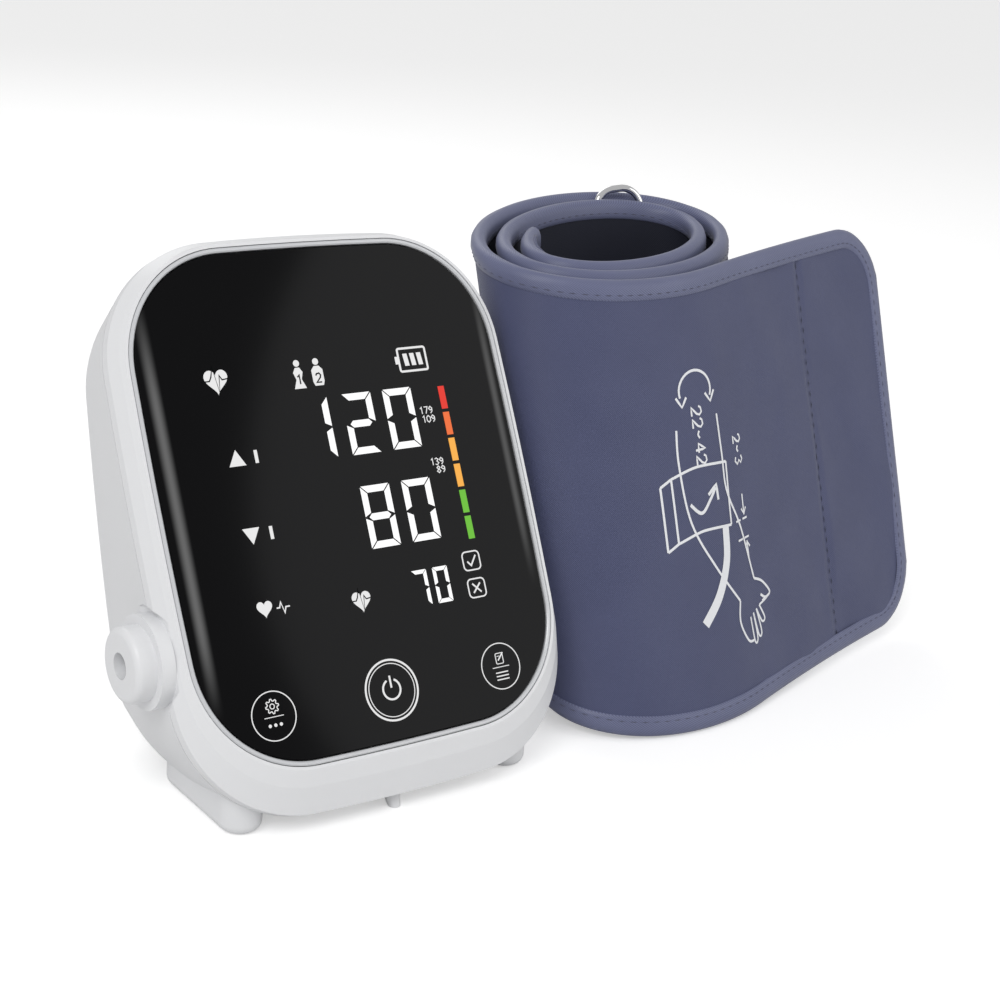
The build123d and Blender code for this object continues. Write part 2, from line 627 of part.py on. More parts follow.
def make_rear(dx, dz, hinge_z, knuckle_y):
    """Rear housing with its bay, screw wells, lip, port pad, feet and nub."""
    half_x, half_z, cell_y, deep = bay_sizes()
    outside = rear_solid(0)
    inside = rear_solid(WALL)
    shell = outside - inside

    add = FACE * spread(BOSS_PLACES, rod(BOSS_R, BOSS_Z - 60, BOSS_Z))
    pad = rod(PORT_RECESS_R + 1.2, PORT_WALL_X - 3, PORT_WALL_X + PORT_PAD)
    pad = Pos(0, PORT_Y, PORT_Z) * ALONG_X * pad
    pad = pad & block((-80, 0), (-80, 0), (-60, SEAM_Z - SEAM_GAP))
    add = add + FACE * pad
    gap = DOOR_GAP
    frame = block((-dx - gap - BAY_WALL - HINGE_PIN_LEN, dx + gap + BAY_WALL + HINGE_PIN_LEN),
                  (-DOOR_THICK - gap - BAY_WALL, 0), (-dz - gap - BAY_WALL, dz + gap + BAY_WALL))
    tray = block((-half_x - BAY_WALL, half_x + BAY_WALL), (deep - BAY_WALL, 0),
                 (-half_z - BAY_WALL, half_z + BAY_WALL))
    add = add + BACK * (frame + tray)
    post = block((VALVE_X - 4, VALVE_X + 4), (PUMP_Y - 4, PUMP_Y + 4), (0, VALVE_BASE_Z))
    add = add + post
    body = shell + (add & outside)

    front_z = SEAM_Z - SEAM_GAP
    lip = slab(outer_outline(WALL + FIT) - outer_outline(WALL + FIT + LIP), front_z - 2, SEAM_Z + LIP_HEIGHT)
    root = slab(outer_outline(WALL - 0.4) - outer_outline(WALL + FIT + LIP), front_z - 3, front_z)
    body = body + FACE * (lip + root)

    well = rod(SCREW_HEAD_R + FIT, BOSS_Z - 70, BOSS_Z - SCREW_SEAT)
    body = body - FACE * spread(BOSS_PLACES, well)
    body = body - FACE * spread(BOSS_PLACES, rod(SCREW_R + FIT, BOSS_Z - SCREW_SEAT - 1, BOSS_Z + 1))
    neck = Pos(0, PORT_Y, PORT_Z) * ALONG_X * rod(PORT_NECK_R, PORT_WALL_X - 2, PORT_WALL_X + PORT_PAD + 6)
    recess = Pos(0, PORT_Y, PORT_Z) * ALONG_X * rod(PORT_RECESS_R, PORT_WALL_X - 20, PORT_WALL_X)
    body = body - FACE * (neck + recess)
    rebate = block((-dx - gap, dx + gap), (-DOOR_THICK - gap, 5), (-dz - gap, dz + gap))
    rebate = rebate + block((-half_x, half_x), (deep, 5), (-half_z, half_z))
    hinge = Pos(0, knuckle_y, hinge_z) * ALONG_X
    pivot = hinge * rod(HINGE_PIN_R + HINGE_FIT, -dx - HINGE_PIN_LEN - gap, dx + HINGE_PIN_LEN + gap)
    swing = hinge * rod(HINGE_R + gap, -dx - gap, dx + gap)
    body = body - BACK * (rebate + pivot + swing)

    pads = None
    mid_y = (PAD_Y[0] + PAD_Y[1]) / 2
    for s in (-1, 1):
        shape = SlotOverall(PAD_Y[1] - PAD_Y[0] + 2 * PAD_HALF, 2 * PAD_HALF)
        foot = Pos(s * PAD_X, mid_y, 0) * Rot(0, 0, 90) * slab(shape, 0, 2 * PAD_HALF)
        low = foot.faces().sort_by(Axis.Z)[0]
        foot = fillet(low.edges(), PAD_ROUND)
        pads = foot if pads is None else pads + foot
        leg = Pos(s * REAR_FOOT_X, REAR_FOOT_Y, 0) * Cone(REAR_LEG_R - 1, REAR_LEG_R, 2 * PAD_HALF,
                                                          align=(Align.CENTER, Align.CENTER, Align.MIN))
        leg = leg - Pos(s * REAR_FOOT_X, REAR_FOOT_Y, 0) * rod(REAR_LEG_R + 2, -1, REAR_FOOT_PROUD)
        pads = pads + leg
    tip = Circle(NUB_TIP_R)
    top = Pos(0, NUB_TOP_Y, NUB_TOP_Z) * Circle(NUB_TOP_R)
    pads = pads + loft([tip, top])
    behind = FACE * block((-100, 100), (-200, 200), (-200, front_z))
    pads = (pads & behind) - inside
    body = body + pads
    for s in (-1, 1):
        body = body - Pos(s * REAR_FOOT_X, REAR_FOOT_Y, 0) * rod(REAR_FOOT_R + 0.1, -1, REAR_FOOT_THICK)
    parts["rear_housing"] = body

    for i, s in enumerate((-1, 1)):
        foot = Pos(s * REAR_FOOT_X, REAR_FOOT_Y, 0) * rod(REAR_FOOT_R, 0, REAR_FOOT_THICK)
        edge = foot.faces().sort_by(Axis.Z)[0]
        parts[f"rear_foot_{i + 1}"] = fillet(edge.edges(), 0.6)
    for i, (x, y) in enumerate(BOSS_PLACES):
        seat = BOSS_Z - SCREW_SEAT
        head = rod(SCREW_HEAD_R, seat - SCREW_HEAD, seat)
        cross = block((-1.6, 1.6), (-0.35, 0.35), (seat - SCREW_HEAD - 1, seat - SCREW_HEAD + 0.9))
        cross = cross + block((-0.35, 0.35), (-1.6, 1.6), (seat - SCREW_HEAD - 1, seat - SCREW_HEAD + 0.9))
        shank = rod(SCREW_R, seat, BOSS_Z + SCREW_GRIP)
        parts[f"housing_screw_{i + 1}"] = FACE * Pos(x, y, 0) * (head + shank - cross)


def spiral(turn):
    """Centre line of the cuff and its outward normal, by turns counted back from the flap."""
    th = radians(FLAP_LEAVE) - 2 * pi * turn
    a = CUFF_OVAL_A - CUFF_PITCH_LONG * CUFF_PITCH * turn
    b = CUFF_OVAL_B - CUFF_PITCH * turn
    da = CUFF_PITCH_LONG * CUFF_PITCH / (2 * pi)
    db = CUFF_PITCH / (2 * pi)
    x = a * cos(th)
    y = b * sin(th)
    tx = da * cos(th) - a * sin(th)
    ty = db * sin(th) + b * cos(th)
    size = hypot(tx, ty)
    tx, ty = tx / size, ty / size
    c = cos(radians(CUFF_TURN))
    s = sin(radians(CUFF_TURN))
    point = (CUFF_X + c * x - s * y, CUFF_Y + s * x + c * y)
    along = (c * tx - s * ty, s * tx + c * ty)
    return point, along


def strip_point(u):
    """Point and direction on the whole strip: u below 0 is turns, above 0 is flap millimetres."""
    if u <= 0:
        return spiral(-u)
    point, along = spiral(0)
    heading = atan2(along[1], along[0])
    steps = 12
    x, y = point
    for i in range(steps):
        h = heading + radians(FLAP_CURL) * (i + 0.5) / steps * u / FLAP_LEN
        x += cos(h) * u / steps
        y += sin(h) * u / steps
    h = heading + radians(FLAP_CURL) * u / FLAP_LEN
    return (x, y), (cos(h), sin(h))


def offset_curve(u0, u1, off):
    """Curve beside the strip's centre line, positive off on the outer side."""
    grid = []
    for i in range(int(CUFF_TURNS * TURN_STOPS) + 2):
        grid.append(-i / TURN_STOPS)
    for i in range(1, int(FLAP_LEN / FLAP_STOP) + 1):
        grid.append(i * FLAP_STOP)
    stops = [u0]
    for u in sorted(grid):
        room = 0.4 * (FLAP_STOP if u > 0 else 1 / TURN_STOPS)
        if u0 + room < u < u1 - (room if u1 <= 0 else 0.4 * FLAP_STOP):
            stops.append(u)
    stops.append(u1)
    pts = []
    for u in stops:
        p, d = strip_point(u)
        pts.append((p[0] + d[1] * off, p[1] - d[0] * off))
    return pts


def band(u0, u1, near, far, low=0.0, high=0.0):
    """Layer of the cuff between two offsets, between two margins from its side edges."""
    outer = offset_curve(u0, u1, far)
    inner = offset_curve(u0, u1, near)
    face = make_face([Spline(*outer), Line(outer[-1], inner[-1]), Spline(*inner[::-1]),
                      Line(inner[0], outer[0])])
    lean = Vector(*CUFF_LEAN)
    unit = lean.normalized()
    face = Pos(*(unit * low)) * face
    return extrude(face, lean.length - low - high, dir=unit)


def corner_cut(end, low, radius):
    """Waste outside the two rounded corners of the flap's end."""
    p, d = strip_point(end)
    lean = Vector(*CUFF_LEAN)
    unit = lean.normalized()
    along = Vector(d[0], d[1], 0)
    across = along.cross(unit).normalized()
    tools = None
    for top in (False, True):
        at = Vector(p[0], p[1], 0) + unit * ((lean.length - low) if top else low)
        inward = unit * (-1 if top else 1)
        frame = Plane(origin=at, x_dir=along * -1, z_dir=(along * -1).cross(inward).normalized())
        edge = frame.location
        waste = block((-9, radius), (-9, radius), (-12, 12))
        waste = waste - Pos(radius, radius, 0) * Cylinder(radius, 40)
        item = edge * waste
        tools = item if tools is None else tools + item
    return tools


def make_cuff():
    """Rolled cuff: layers, bladder, binding, patches and the long metal ring."""
    start = -CUFF_TURNS
    h = CUFF_HALF
    wrap = BINDING_WRAP
    pitch_sum = (1 + CUFF_PITCH_LONG) * CUFF_PITCH
    inner_len = pi * (CUFF_OVAL_A + CUFF_OVAL_B - pitch_sum * CUFF_TURNS)
    begin = start + wrap / inner_len
    trimmed = corner_cut(FLAP_LEN - wrap, wrap, FLAP_CORNER - wrap)
    outer = band(begin, FLAP_LEN - wrap, CORE_HALF, h, wrap, wrap) - trimmed
    lining = band(begin, FLAP_LEN - wrap, -h, -CORE_HALF, wrap, wrap) - trimmed
    parts["cuff_outer_fabric"] = CUFF * outer
    parts["cuff_lining"] = CUFF * lining
    b0, b1 = BLADDER_TURNS
    parts["cuff_bladder"] = CUFF * band(-b1, -b0, CLOTH_FIT - CORE_HALF, CORE_HALF - CLOTH_FIT,
                                        BLADDER_MARGIN, BLADDER_MARGIN)
    hem = BINDING_W
    full = band(start, FLAP_LEN, -BINDING_HALF, BINDING_HALF) - corner_cut(FLAP_LEN, 0, FLAP_CORNER)
    room = band(start + hem / inner_len, FLAP_LEN - hem, -3.0, 3.0, hem, hem)
    room = room - corner_cut(FLAP_LEN - hem, hem, FLAP_CORNER - hem)
    core = band(begin, FLAP_LEN - wrap, -h, h, wrap, wrap) - trimmed
    parts["cuff_edge_binding"] = CUFF * (full - room - core)
    k0, k1 = HOOK_TURNS
    under = -h - CLOTH_FIT
    margin = PATCH_MARGIN
    parts["cuff_hook_patch"] = CUFF * band(-k1, -k0, under - PATCH_THICK, under, margin, margin)
    loop_end = FLAP_LEN - LOOP_INSET
    parts["cuff_loop_patch"] = CUFF * band(loop_end - LOOP_LEN, loop_end, under - PATCH_THICK, under,
                                           LOOP_MARGIN, LOOP_MARGIN)

    turn_mm = pi * (CUFF_OVAL_A + CUFF_OVAL_B - pitch_sum * RING_TURN)
    lean = Vector(*CUFF_LEAN)
    unit = lean.normalized()
    sides = []
    for turn in (RING_TURN, RING_TURN - RING_W / turn_mm):
        p, d = spiral(turn)
        away = Vector(d[1], -d[0], 0)
        square = Vector(d[0], d[1], 0).cross(unit).normalized()
        off = h + TAB_R / abs(away.dot(square))
        sides.append(Vector(p[0], p[1], 0) + away * off)
    along = (sides[1] - sides[0]).normalized()
    normal = along.cross(unit).normalized()
    middle = sides[0] + along * (RING_W / 2) + unit * (lean.length / 2)
    frame = Plane(origin=middle, x_dir=unit.cross(normal), z_dir=normal)
    outline = RectangleRounded(RING_W, lean.length + RING_PROUD, RING_CORNER)
    path = outline.wire()
    section = Plane(origin=path @ 0, z_dir=path % 0) * Circle(RING_WIRE_R)
    parts["cuff_d_ring"] = CUFF * frame.location * sweep(section, path=path)
    half = lean.length / 2 - TAB_MARGIN
    sleeve = Cylinder(TAB_R, 2 * half) - Cylinder(RING_WIRE_R, 2 * half + 2)
    sleeve = Pos(-RING_W / 2, 0, 0) * Rot(90, 0, 0) * sleeve
    parts["d_ring_loop"] = CUFF * frame.location * sleeve


make_front()
make_board()
aim, aim_reach = make_air()
make_pump(aim, aim_reach)
make_valve()
door_x, door_z, door_hinge_z, door_hinge_y = make_batteries()
make_rear(door_x, door_z, door_hinge_z, door_hinge_y)
make_cuff()

for name, shape in parts.items():
    shape.label = name
    export_step(shape, f"parts/{name}.step")
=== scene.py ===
# %% [markdown]
# # Upper arm blood pressure monitor
# A tilted white monitor with a black glass front stands beside its rolled navy cuff.
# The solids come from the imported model. This file adds what solids can't show: the lit display,
# the printed keys, the sewn cloth, the stitching, the materials, the light and the camera.

# %%
import json
from math import atan2, cos, hypot, pi, radians, sin

import bmesh
import bpy
import numpy as np
from mathutils import Matrix, Vector, noise


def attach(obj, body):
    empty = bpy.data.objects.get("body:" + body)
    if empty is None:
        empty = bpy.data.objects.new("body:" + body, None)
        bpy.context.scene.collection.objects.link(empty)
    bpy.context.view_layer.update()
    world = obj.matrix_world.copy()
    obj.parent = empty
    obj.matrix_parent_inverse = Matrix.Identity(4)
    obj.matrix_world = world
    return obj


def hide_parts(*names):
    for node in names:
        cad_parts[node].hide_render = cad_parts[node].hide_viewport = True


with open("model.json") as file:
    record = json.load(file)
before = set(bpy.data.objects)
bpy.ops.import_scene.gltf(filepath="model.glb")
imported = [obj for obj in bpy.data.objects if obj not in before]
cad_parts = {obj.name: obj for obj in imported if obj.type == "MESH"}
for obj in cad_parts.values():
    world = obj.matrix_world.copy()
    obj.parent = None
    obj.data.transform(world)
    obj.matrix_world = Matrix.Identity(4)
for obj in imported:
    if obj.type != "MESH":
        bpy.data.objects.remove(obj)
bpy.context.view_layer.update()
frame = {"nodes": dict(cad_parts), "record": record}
MM = 0.001

# %% [markdown]
# ## Frames
# Two local frames are used. The face frame lies on the glass: x to the right, y up the glass and
# z out of it, in millimetres. The cuff frame is the slightly tilted plane that the roll stands on.

# %%
RECLINE = radians(28.0)
LENS_HEIGHT = 74.0
LENS_SETBACK = 28.0
FACE = (
    Matrix.Scale(MM, 4)
    @ Matrix.Translation((0, LENS_SETBACK, LENS_HEIGHT))
    @ Matrix.Rotation(radians(90) - RECLINE, 4, "X")
)
CUFF_TILT = radians(8.1)
CUFF_FRONT_Y = -5.6
CUFF = (
    Matrix.Scale(MM, 4) @ Matrix.Translation((0, CUFF_FRONT_Y, 0)) @ Matrix.Rotation(CUFF_TILT, 4, "X")
)

# %% [markdown]
# ## Material helpers
# Each material is made of shader nodes only. Two node groups are shared: a fine plastic grain
# and the twill weave of the cloth.


# %%
def new_group(name, inputs):
    """Node group with float inputs and one vector output for a bumped normal."""
    group = bpy.data.node_groups.new(name, "ShaderNodeTree")
    for label, value in inputs:
        socket = group.interface.new_socket(label, in_out="INPUT", socket_type="NodeSocketFloat")
        socket.default_value = value
    group.interface.new_socket("Normal", in_out="OUTPUT", socket_type="NodeSocketVector")
    group.interface.new_socket("Shade", in_out="OUTPUT", socket_type="NodeSocketFloat")
    return group, group.nodes.new("NodeGroupInput"), group.nodes.new("NodeGroupOutput")


def grain_group():
    """Fine random grain of moulded plastic."""
    group, start, end = new_group("plastic_grain", [("Scale", 900.0), ("Height", 0.02)])
    n, link = group.nodes, group.links.new
    coord = n.new("ShaderNodeTexCoord")
    tex = n.new("ShaderNodeTexNoise")
    bump = n.new("ShaderNodeBump")
    bump.inputs["Distance"].default_value = 0.001
    link(coord.outputs["Object"], tex.inputs["Vector"])
    link(start.outputs["Scale"], tex.inputs["Scale"])
    link(tex.outputs["Fac"], bump.inputs["Height"])
    link(start.outputs["Height"], bump.inputs["Strength"])
    link(bump.outputs["Normal"], end.inputs["Normal"])
    link(tex.outputs["Fac"], end.inputs["Shade"])
    return group


def twill_group():
    """Diagonal ribs of a twill weave, measured along the cloth in millimetres."""
    group, start, end = new_group("twill_weave", [("Ribs", 1.0), ("Height", 0.3)])
    n, link = group.nodes, group.links.new
    coord = n.new("ShaderNodeTexCoord")
    rib = n.new("ShaderNodeTexWave")
    rib.wave_type = "BANDS"
    rib.bands_direction = "DIAGONAL"
    rib.inputs["Distortion"].default_value = 0.6
    rib.inputs["Detail"].default_value = 1.0
    fine = n.new("ShaderNodeTexNoise")
    fine.inputs["Scale"].default_value = 3.0
    fine.inputs["Detail"].default_value = 4.0
    wide = n.new("ShaderNodeTexNoise")
    wide.inputs["Scale"].default_value = 0.05
    mix = n.new("ShaderNodeMath")
    mix.operation = "MULTIPLY_ADD"
    mix.inputs[1].default_value = 0.5
    mix_wide = n.new("ShaderNodeMath")
    mix_wide.operation = "MULTIPLY_ADD"
    mix_wide.inputs[1].default_value = 0.6
    bump = n.new("ShaderNodeBump")
    bump.inputs["Distance"].default_value = 0.0004
    for tex in (rib, fine, wide):
        link(coord.outputs["UV"], tex.inputs["Vector"])
    link(start.outputs["Ribs"], rib.inputs["Scale"])
    link(fine.outputs["Fac"], mix.inputs[0])
    link(rib.outputs["Fac"], mix.inputs[2])
    link(wide.outputs["Fac"], mix_wide.inputs[0])
    link(mix.outputs[0], mix_wide.inputs[2])
    level = n.new("ShaderNodeMath")
    level.operation = "MULTIPLY"
    level.inputs[1].default_value = 0.6
    link(mix_wide.outputs[0], level.inputs[0])
    link(mix.outputs[0], bump.inputs["Height"])
    link(start.outputs["Height"], bump.inputs["Strength"])
    link(bump.outputs["Normal"], end.inputs["Normal"])
    link(level.outputs[0], end.inputs["Shade"])
    return group


GRAIN = grain_group()
TWILL = twill_group()


def principled(name, color, rough, metal=0.0, spec=0.5, coat=0.0):
    mat = bpy.data.materials.new(name)
    mat.use_nodes = True
    bsdf = mat.node_tree.nodes["Principled BSDF"]
    bsdf.inputs["Base Color"].default_value = (*color, 1.0)
    bsdf.inputs["Roughness"].default_value = rough
    bsdf.inputs["Metallic"].default_value = metal
    bsdf.inputs["Specular IOR Level"].default_value = spec
    bsdf.inputs["Coat Weight"].default_value = coat
    return mat, bsdf


def plastic(name, color, rough, spec=0.5, height=0.02):
    mat, bsdf = principled(name, color, rough, spec=spec)
    group = mat.node_tree.nodes.new("ShaderNodeGroup")
    group.node_tree = GRAIN
    group.inputs["Height"].default_value = height
    mat.node_tree.links.new(group.outputs["Normal"], bsdf.inputs["Normal"])
    return mat


def cloth(name, dark, light, rough, ribs=1.0, height=0.3, sheen=0.25):
    """Woven cloth: painted light makes its ribs a little lighter than its grooves, over random tone."""
    mat, bsdf = principled(name, dark, rough, spec=0.35)
    n, link = mat.node_tree.nodes, mat.node_tree.links.new
    group = n.new("ShaderNodeGroup")
    group.node_tree = TWILL
    group.inputs["Ribs"].default_value = ribs
    group.inputs["Height"].default_value = height
    # Painted light: this ramp colours the ribs lighter and the grooves darker, mixed with random tone.
    ramp = n.new("ShaderNodeValToRGB")
    ramp.color_ramp.elements[0].position = 0.25
    ramp.color_ramp.elements[0].color = (*dark, 1.0)
    ramp.color_ramp.elements[1].position = 0.85
    ramp.color_ramp.elements[1].color = (*light, 1.0)
    link(group.outputs["Shade"], ramp.inputs["Fac"])
    link(ramp.outputs["Color"], bsdf.inputs["Base Color"])
    link(group.outputs["Normal"], bsdf.inputs["Normal"])
    bsdf.inputs["Sheen Weight"].default_value = sheen
    bsdf.inputs["Sheen Roughness"].default_value = 0.4
    return mat


def glow(name, color, strength=1.0):
    mat, bsdf = principled(name, (0.02, 0.02, 0.02), 0.5, spec=0.2)
    bsdf.inputs["Emission Color"].default_value = (*color, 1.0)
    bsdf.inputs["Emission Strength"].default_value = strength
    return mat


def glass_with_painted_streaks():
    """Black glass with two soft vertical stripes of painted reflection near its rolled edges, made by
    emission.
    """
    mat, bsdf = principled("black_glass_painted_reflections", (0.002, 0.002, 0.0025), 0.08, spec=0.12)
    n, link = mat.node_tree.nodes, mat.node_tree.links.new
    coord = n.new("ShaderNodeTexCoord")
    split = n.new("ShaderNodeSeparateXYZ")
    link(coord.outputs["Object"], split.inputs["Vector"])
    painted_reflection = None
    # Painted reflections: each entry gives the centre x, half width, lowest z and brightness of one soft
    # emissive stripe.
    painted_reflection_streaks = [(-0.0478, 0.0022, 0.030, 0.13), (0.0492, 0.0016, 0.045, 0.075)]
    for centre, half, low, level in painted_reflection_streaks:
        away = n.new("ShaderNodeMath")
        away.operation = "SUBTRACT"
        away.inputs[1].default_value = centre
        link(split.outputs["X"], away.inputs[0])
        width = n.new("ShaderNodeMath")
        width.operation = "ABSOLUTE"
        link(away.outputs[0], width.inputs[0])
        soft = n.new("ShaderNodeMapRange")
        soft.interpolation_type = "SMOOTHSTEP"
        soft.inputs["From Min"].default_value = half
        soft.inputs["From Max"].default_value = 0.0
        soft.inputs["To Max"].default_value = level
        link(width.outputs[0], soft.inputs["Value"])
        rise = n.new("ShaderNodeMapRange")
        rise.interpolation_type = "SMOOTHSTEP"
        rise.inputs["From Min"].default_value = low
        rise.inputs["From Max"].default_value = low + 0.022
        link(split.outputs["Z"], rise.inputs["Value"])
        fall = n.new("ShaderNodeMapRange")
        fall.interpolation_type = "SMOOTHSTEP"
        fall.inputs["From Min"].default_value = 0.125
        fall.inputs["From Max"].default_value = 0.095
        link(split.outputs["Z"], fall.inputs["Value"])
        value = soft.outputs[0]
        for part in (rise, fall):
            times = n.new("ShaderNodeMath")
            times.operation = "MULTIPLY"
            link(value, times.inputs[0])
            link(part.outputs[0], times.inputs[1])
            value = times.outputs[0]
        if painted_reflection is None:
            painted_reflection = value
        else:
            add = n.new("ShaderNodeMath")
            link(painted_reflection, add.inputs[0])
            link(value, add.inputs[1])
            painted_reflection = add.outputs[0]
    bsdf.inputs["Emission Color"].default_value = (1.0, 1.0, 1.0, 1.0)
    link(painted_reflection, bsdf.inputs["Emission Strength"])
    return mat


# %% [markdown]
# ## The materials
# One material for each kind of surface. The keys match the record's material slots.

# %%
MATERIALS = {
    "housing": plastic("white_shell", (0.80, 0.805, 0.82), 0.38, height=0.015),
    "panel": glass_with_painted_streaks(),
    "trim": plastic("bright_trim", (0.62, 0.63, 0.65), 0.2, spec=0.7, height=0.0),
    "foam": plastic("black_foam", (0.01, 0.01, 0.01), 0.9),
    "display": plastic("display_block", (0.02, 0.02, 0.022), 0.6),
    "board": plastic("board_green", (0.01, 0.09, 0.035), 0.45),
    "component": plastic("component_black", (0.012, 0.012, 0.012), 0.5),
    "steel": principled("plain_steel", (0.55, 0.55, 0.57), 0.3, metal=1.0)[0],
    "grey_plastic": plastic("inner_grey", (0.12, 0.125, 0.13), 0.5),
    "tube": plastic("silicone_tube", (0.45, 0.46, 0.46), 0.4),
    "rubber_foot": plastic("foot_rubber", (0.035, 0.035, 0.038), 0.85),
    "spring": principled("spring_steel", (0.7, 0.7, 0.72), 0.22, metal=1.0)[0],
    "cell": principled("cell_wrap", (0.05, 0.05, 0.055), 0.35, metal=0.6)[0],
    "navy_cloth": cloth("navy_twill", (0.050, 0.058, 0.125), (0.092, 0.103, 0.195), 0.5, sheen=0.12),
    # The lining's near-black colour is partly its own dark navy and partly painted shade for the inside
    # of the roll.
    "navy_lining": cloth("navy_lining", (0.006, 0.007, 0.014), (0.014, 0.016, 0.030), 0.8, sheen=0.0),
    "binding": cloth("binding_tape", (0.10, 0.11, 0.19), (0.17, 0.185, 0.30), 0.38,
                     ribs=0.7, height=0.15, sheen=0.1),
    "bladder": plastic("bladder_sheet", (0.02, 0.02, 0.022), 0.6),
    "hook": cloth("hook_tape", (0.010, 0.011, 0.020), (0.035, 0.038, 0.07), 0.9, ribs=2.0),
    "ring": principled("plated_wire", (0.85, 0.85, 0.86), 0.08, metal=1.0)[0],
}
THREAD = plastic("sewing_thread", (0.02, 0.022, 0.04), 0.7)
LIGHT_THREAD = plastic("binding_thread", (0.10, 0.105, 0.16), 0.6)
WHITE_INK = plastic("white_ink", (0.86, 0.87, 0.90), 0.6)
WHITE_LED = glow("led_white", (1.0, 1.0, 1.0), 1.05)
PRINT = glow("panel_print", (1.0, 1.0, 1.0), 0.80)
LEVELS = {
    "red": glow("led_red", (0.78, 0.028, 0.014), 1.0),
    "orange": glow("led_orange", (0.86, 0.155, 0.032), 1.0),
    "amber": glow("led_amber", (0.94, 0.43, 0.06), 1.0),
    "green": glow("led_green", (0.14, 0.51, 0.03), 1.0),
}

for part in frame["record"]["subparts"]:
    obj = frame["nodes"][part["node"]]
    for holder in obj.material_slots:
        holder.material = MATERIALS[part["material_slot"]]
    if not obj.material_slots:
        obj.data.materials.append(MATERIALS[part["material_slot"]])

# %% [markdown]
# ## Mesh helpers
# Every new mesh is built from lists of points and faces in one of the two local frames, and is
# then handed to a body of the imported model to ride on.


# %%
def make(name, points, faces, matrix, material, body, smooth=False, uv=None):
    """Mesh object from local millimetre points."""
    mesh = bpy.data.meshes.new(name)
    mesh.from_pydata([matrix @ Vector(p) for p in points], [], faces)
    if uv is not None:
        layer = mesh.uv_layers.new(name="cloth")
        for loop in mesh.loops:
            layer.data[loop.index].uv = uv[loop.vertex_index]
    bm = bmesh.new()
    bm.from_mesh(mesh)
    bmesh.ops.recalc_face_normals(bm, faces=bm.faces)
    for face in bm.faces:
        face.smooth = smooth
    bm.to_mesh(mesh)
    bm.free()
    mesh.materials.append(material)
    obj = bpy.data.objects.new(name, mesh)
    bpy.context.scene.collection.objects.link(obj)
    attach(obj, body)
    return obj


INK_LIFT = 0.02
INK_THICK = 0.06


class Ink:
    """Flat shapes on the glass, each a very thin prism."""

    def __init__(self):
        self.points = []
        self.faces = []

    def polygon(self, outline):
        count = len(outline)
        first = len(self.points)
        for z in (INK_LIFT, INK_LIFT + INK_THICK):
            self.points.extend((x, y, z) for x, y in outline)
        low = list(range(first, first + count))
        high = [i + count for i in low]
        self.faces.append(low[::-1])
        self.faces.append(high)
        for i in range(count):
            j = (i + 1) % count
            self.faces.append([low[i], low[j], high[j], high[i]])

    def line(self, path, width, closed=False):
        """Mitred line of even width along a path."""
        pts = [Vector(p) for p in path]
        count = len(pts)
        sides = []
        for i in range(count):
            before = pts[i - 1] if (i > 0 or closed) else None
            after = pts[(i + 1) % count] if (i < count - 1 or closed) else None
            a = (pts[i] - before).normalized() if before is not None else None
            b = (after - pts[i]).normalized() if after is not None else None
            a = b if a is None else a
            b = a if b is None else b
            mid = (a + b).normalized()
            normal = Vector((-mid.y, mid.x))
            half = width / 2 / max(0.5, normal.dot(Vector((-a.y, a.x))))
            sides.append((pts[i] + normal * half, pts[i] - normal * half))
        last = count if closed else count - 1
        for i in range(last):
            l0, r0 = sides[i]
            l1, r1 = sides[(i + 1) % count]
            self.polygon([tuple(r0), tuple(r1), tuple(l1), tuple(l0)])

    def ring(self, x, y, radius, width, start=0.0, turn=360.0, steps=40):
        arc = []
        closed = turn >= 360
        for i in range(steps if closed else steps + 1):
            a = radians(start + turn * i / steps)
            arc.append((x + radius * cos(a), y + radius * sin(a)))
        self.line(arc, width, closed=closed)

    def disc(self, x, y, radius, steps=24):
        self.polygon([(x + radius * cos(2 * pi * i / steps), y + radius * sin(2 * pi * i / steps))
                      for i in range(steps)])

    def box(self, x, y, w, h, corner, width):
        """Line round a box with rounded corners."""
        path = []
        for cx, cy, a0 in ((w, h, 0), (-w, h, 90), (-w, -h, 180), (w, -h, 270)):
            sx = x + (abs(cx) / 2 - corner) * (1 if cx > 0 else -1)
            sy = y + (abs(cy) / 2 - corner) * (1 if cy > 0 else -1)
            for k in range(5):
                a = radians(a0 + 22.5 * k)
                path.append((sx + corner * cos(a), sy + corner * sin(a)))
        self.line(path, width, closed=True)

    def done(self, name, material):
        return make(name, self.points, self.faces, FACE, material, "monitor")


# %% [markdown]
# ## Lit digits
# A seven segment digit is drawn from its outer box. Each bar ends in a slanted cut, with a dark
# gap to the next one.

# %%
SEGMENTS = {
    "0": "abcdef", "1": "bc", "2": "abged", "3": "abgcd", "4": "fgbc",
    "5": "afgcd", "6": "afgedc", "7": "abc", "8": "abcdefg", "9": "abcdfg",
}


def lit_digit(ink, digit, x, y, w, h, bar):
    """Digit centred at x, y. The bars are cut at 45 degrees with a gap between them."""
    gap = bar * 0.13
    left, right = x - w / 2, x + w / 2
    low, high = y - h / 2, y + h / 2
    half = bar / 2
    in_left, in_right = left + bar, right - bar
    shapes = {
        "a": [(left + gap, high), (right - gap, high),
              (in_right - gap, high - bar), (in_left + gap, high - bar)],
        "d": [(left + gap, low), (right - gap, low),
              (in_right - gap, low + bar), (in_left + gap, low + bar)],
        "g": [(left + half + gap, y), (in_left + gap, y + half), (in_right - gap, y + half),
              (right - half - gap, y), (in_right - gap, y - half), (in_left + gap, y - half)],
        "f": [(left, high - gap), (in_left, high - bar - gap),
              (in_left, y + half + gap), (left, y + gap)],
        "e": [(left, low + gap), (in_left, low + bar + gap), (in_left, y - half - gap), (left, y - gap)],
        "b": [(right, high - gap), (in_right, high - bar - gap),
              (in_right, y + half + gap), (right, y + gap)],
        "c": [(right, low + gap), (in_right, low + bar + gap),
              (in_right, y - half - gap), (right, y - gap)],
    }
    for key in SEGMENTS[digit]:
        ink.polygon(shapes[key])


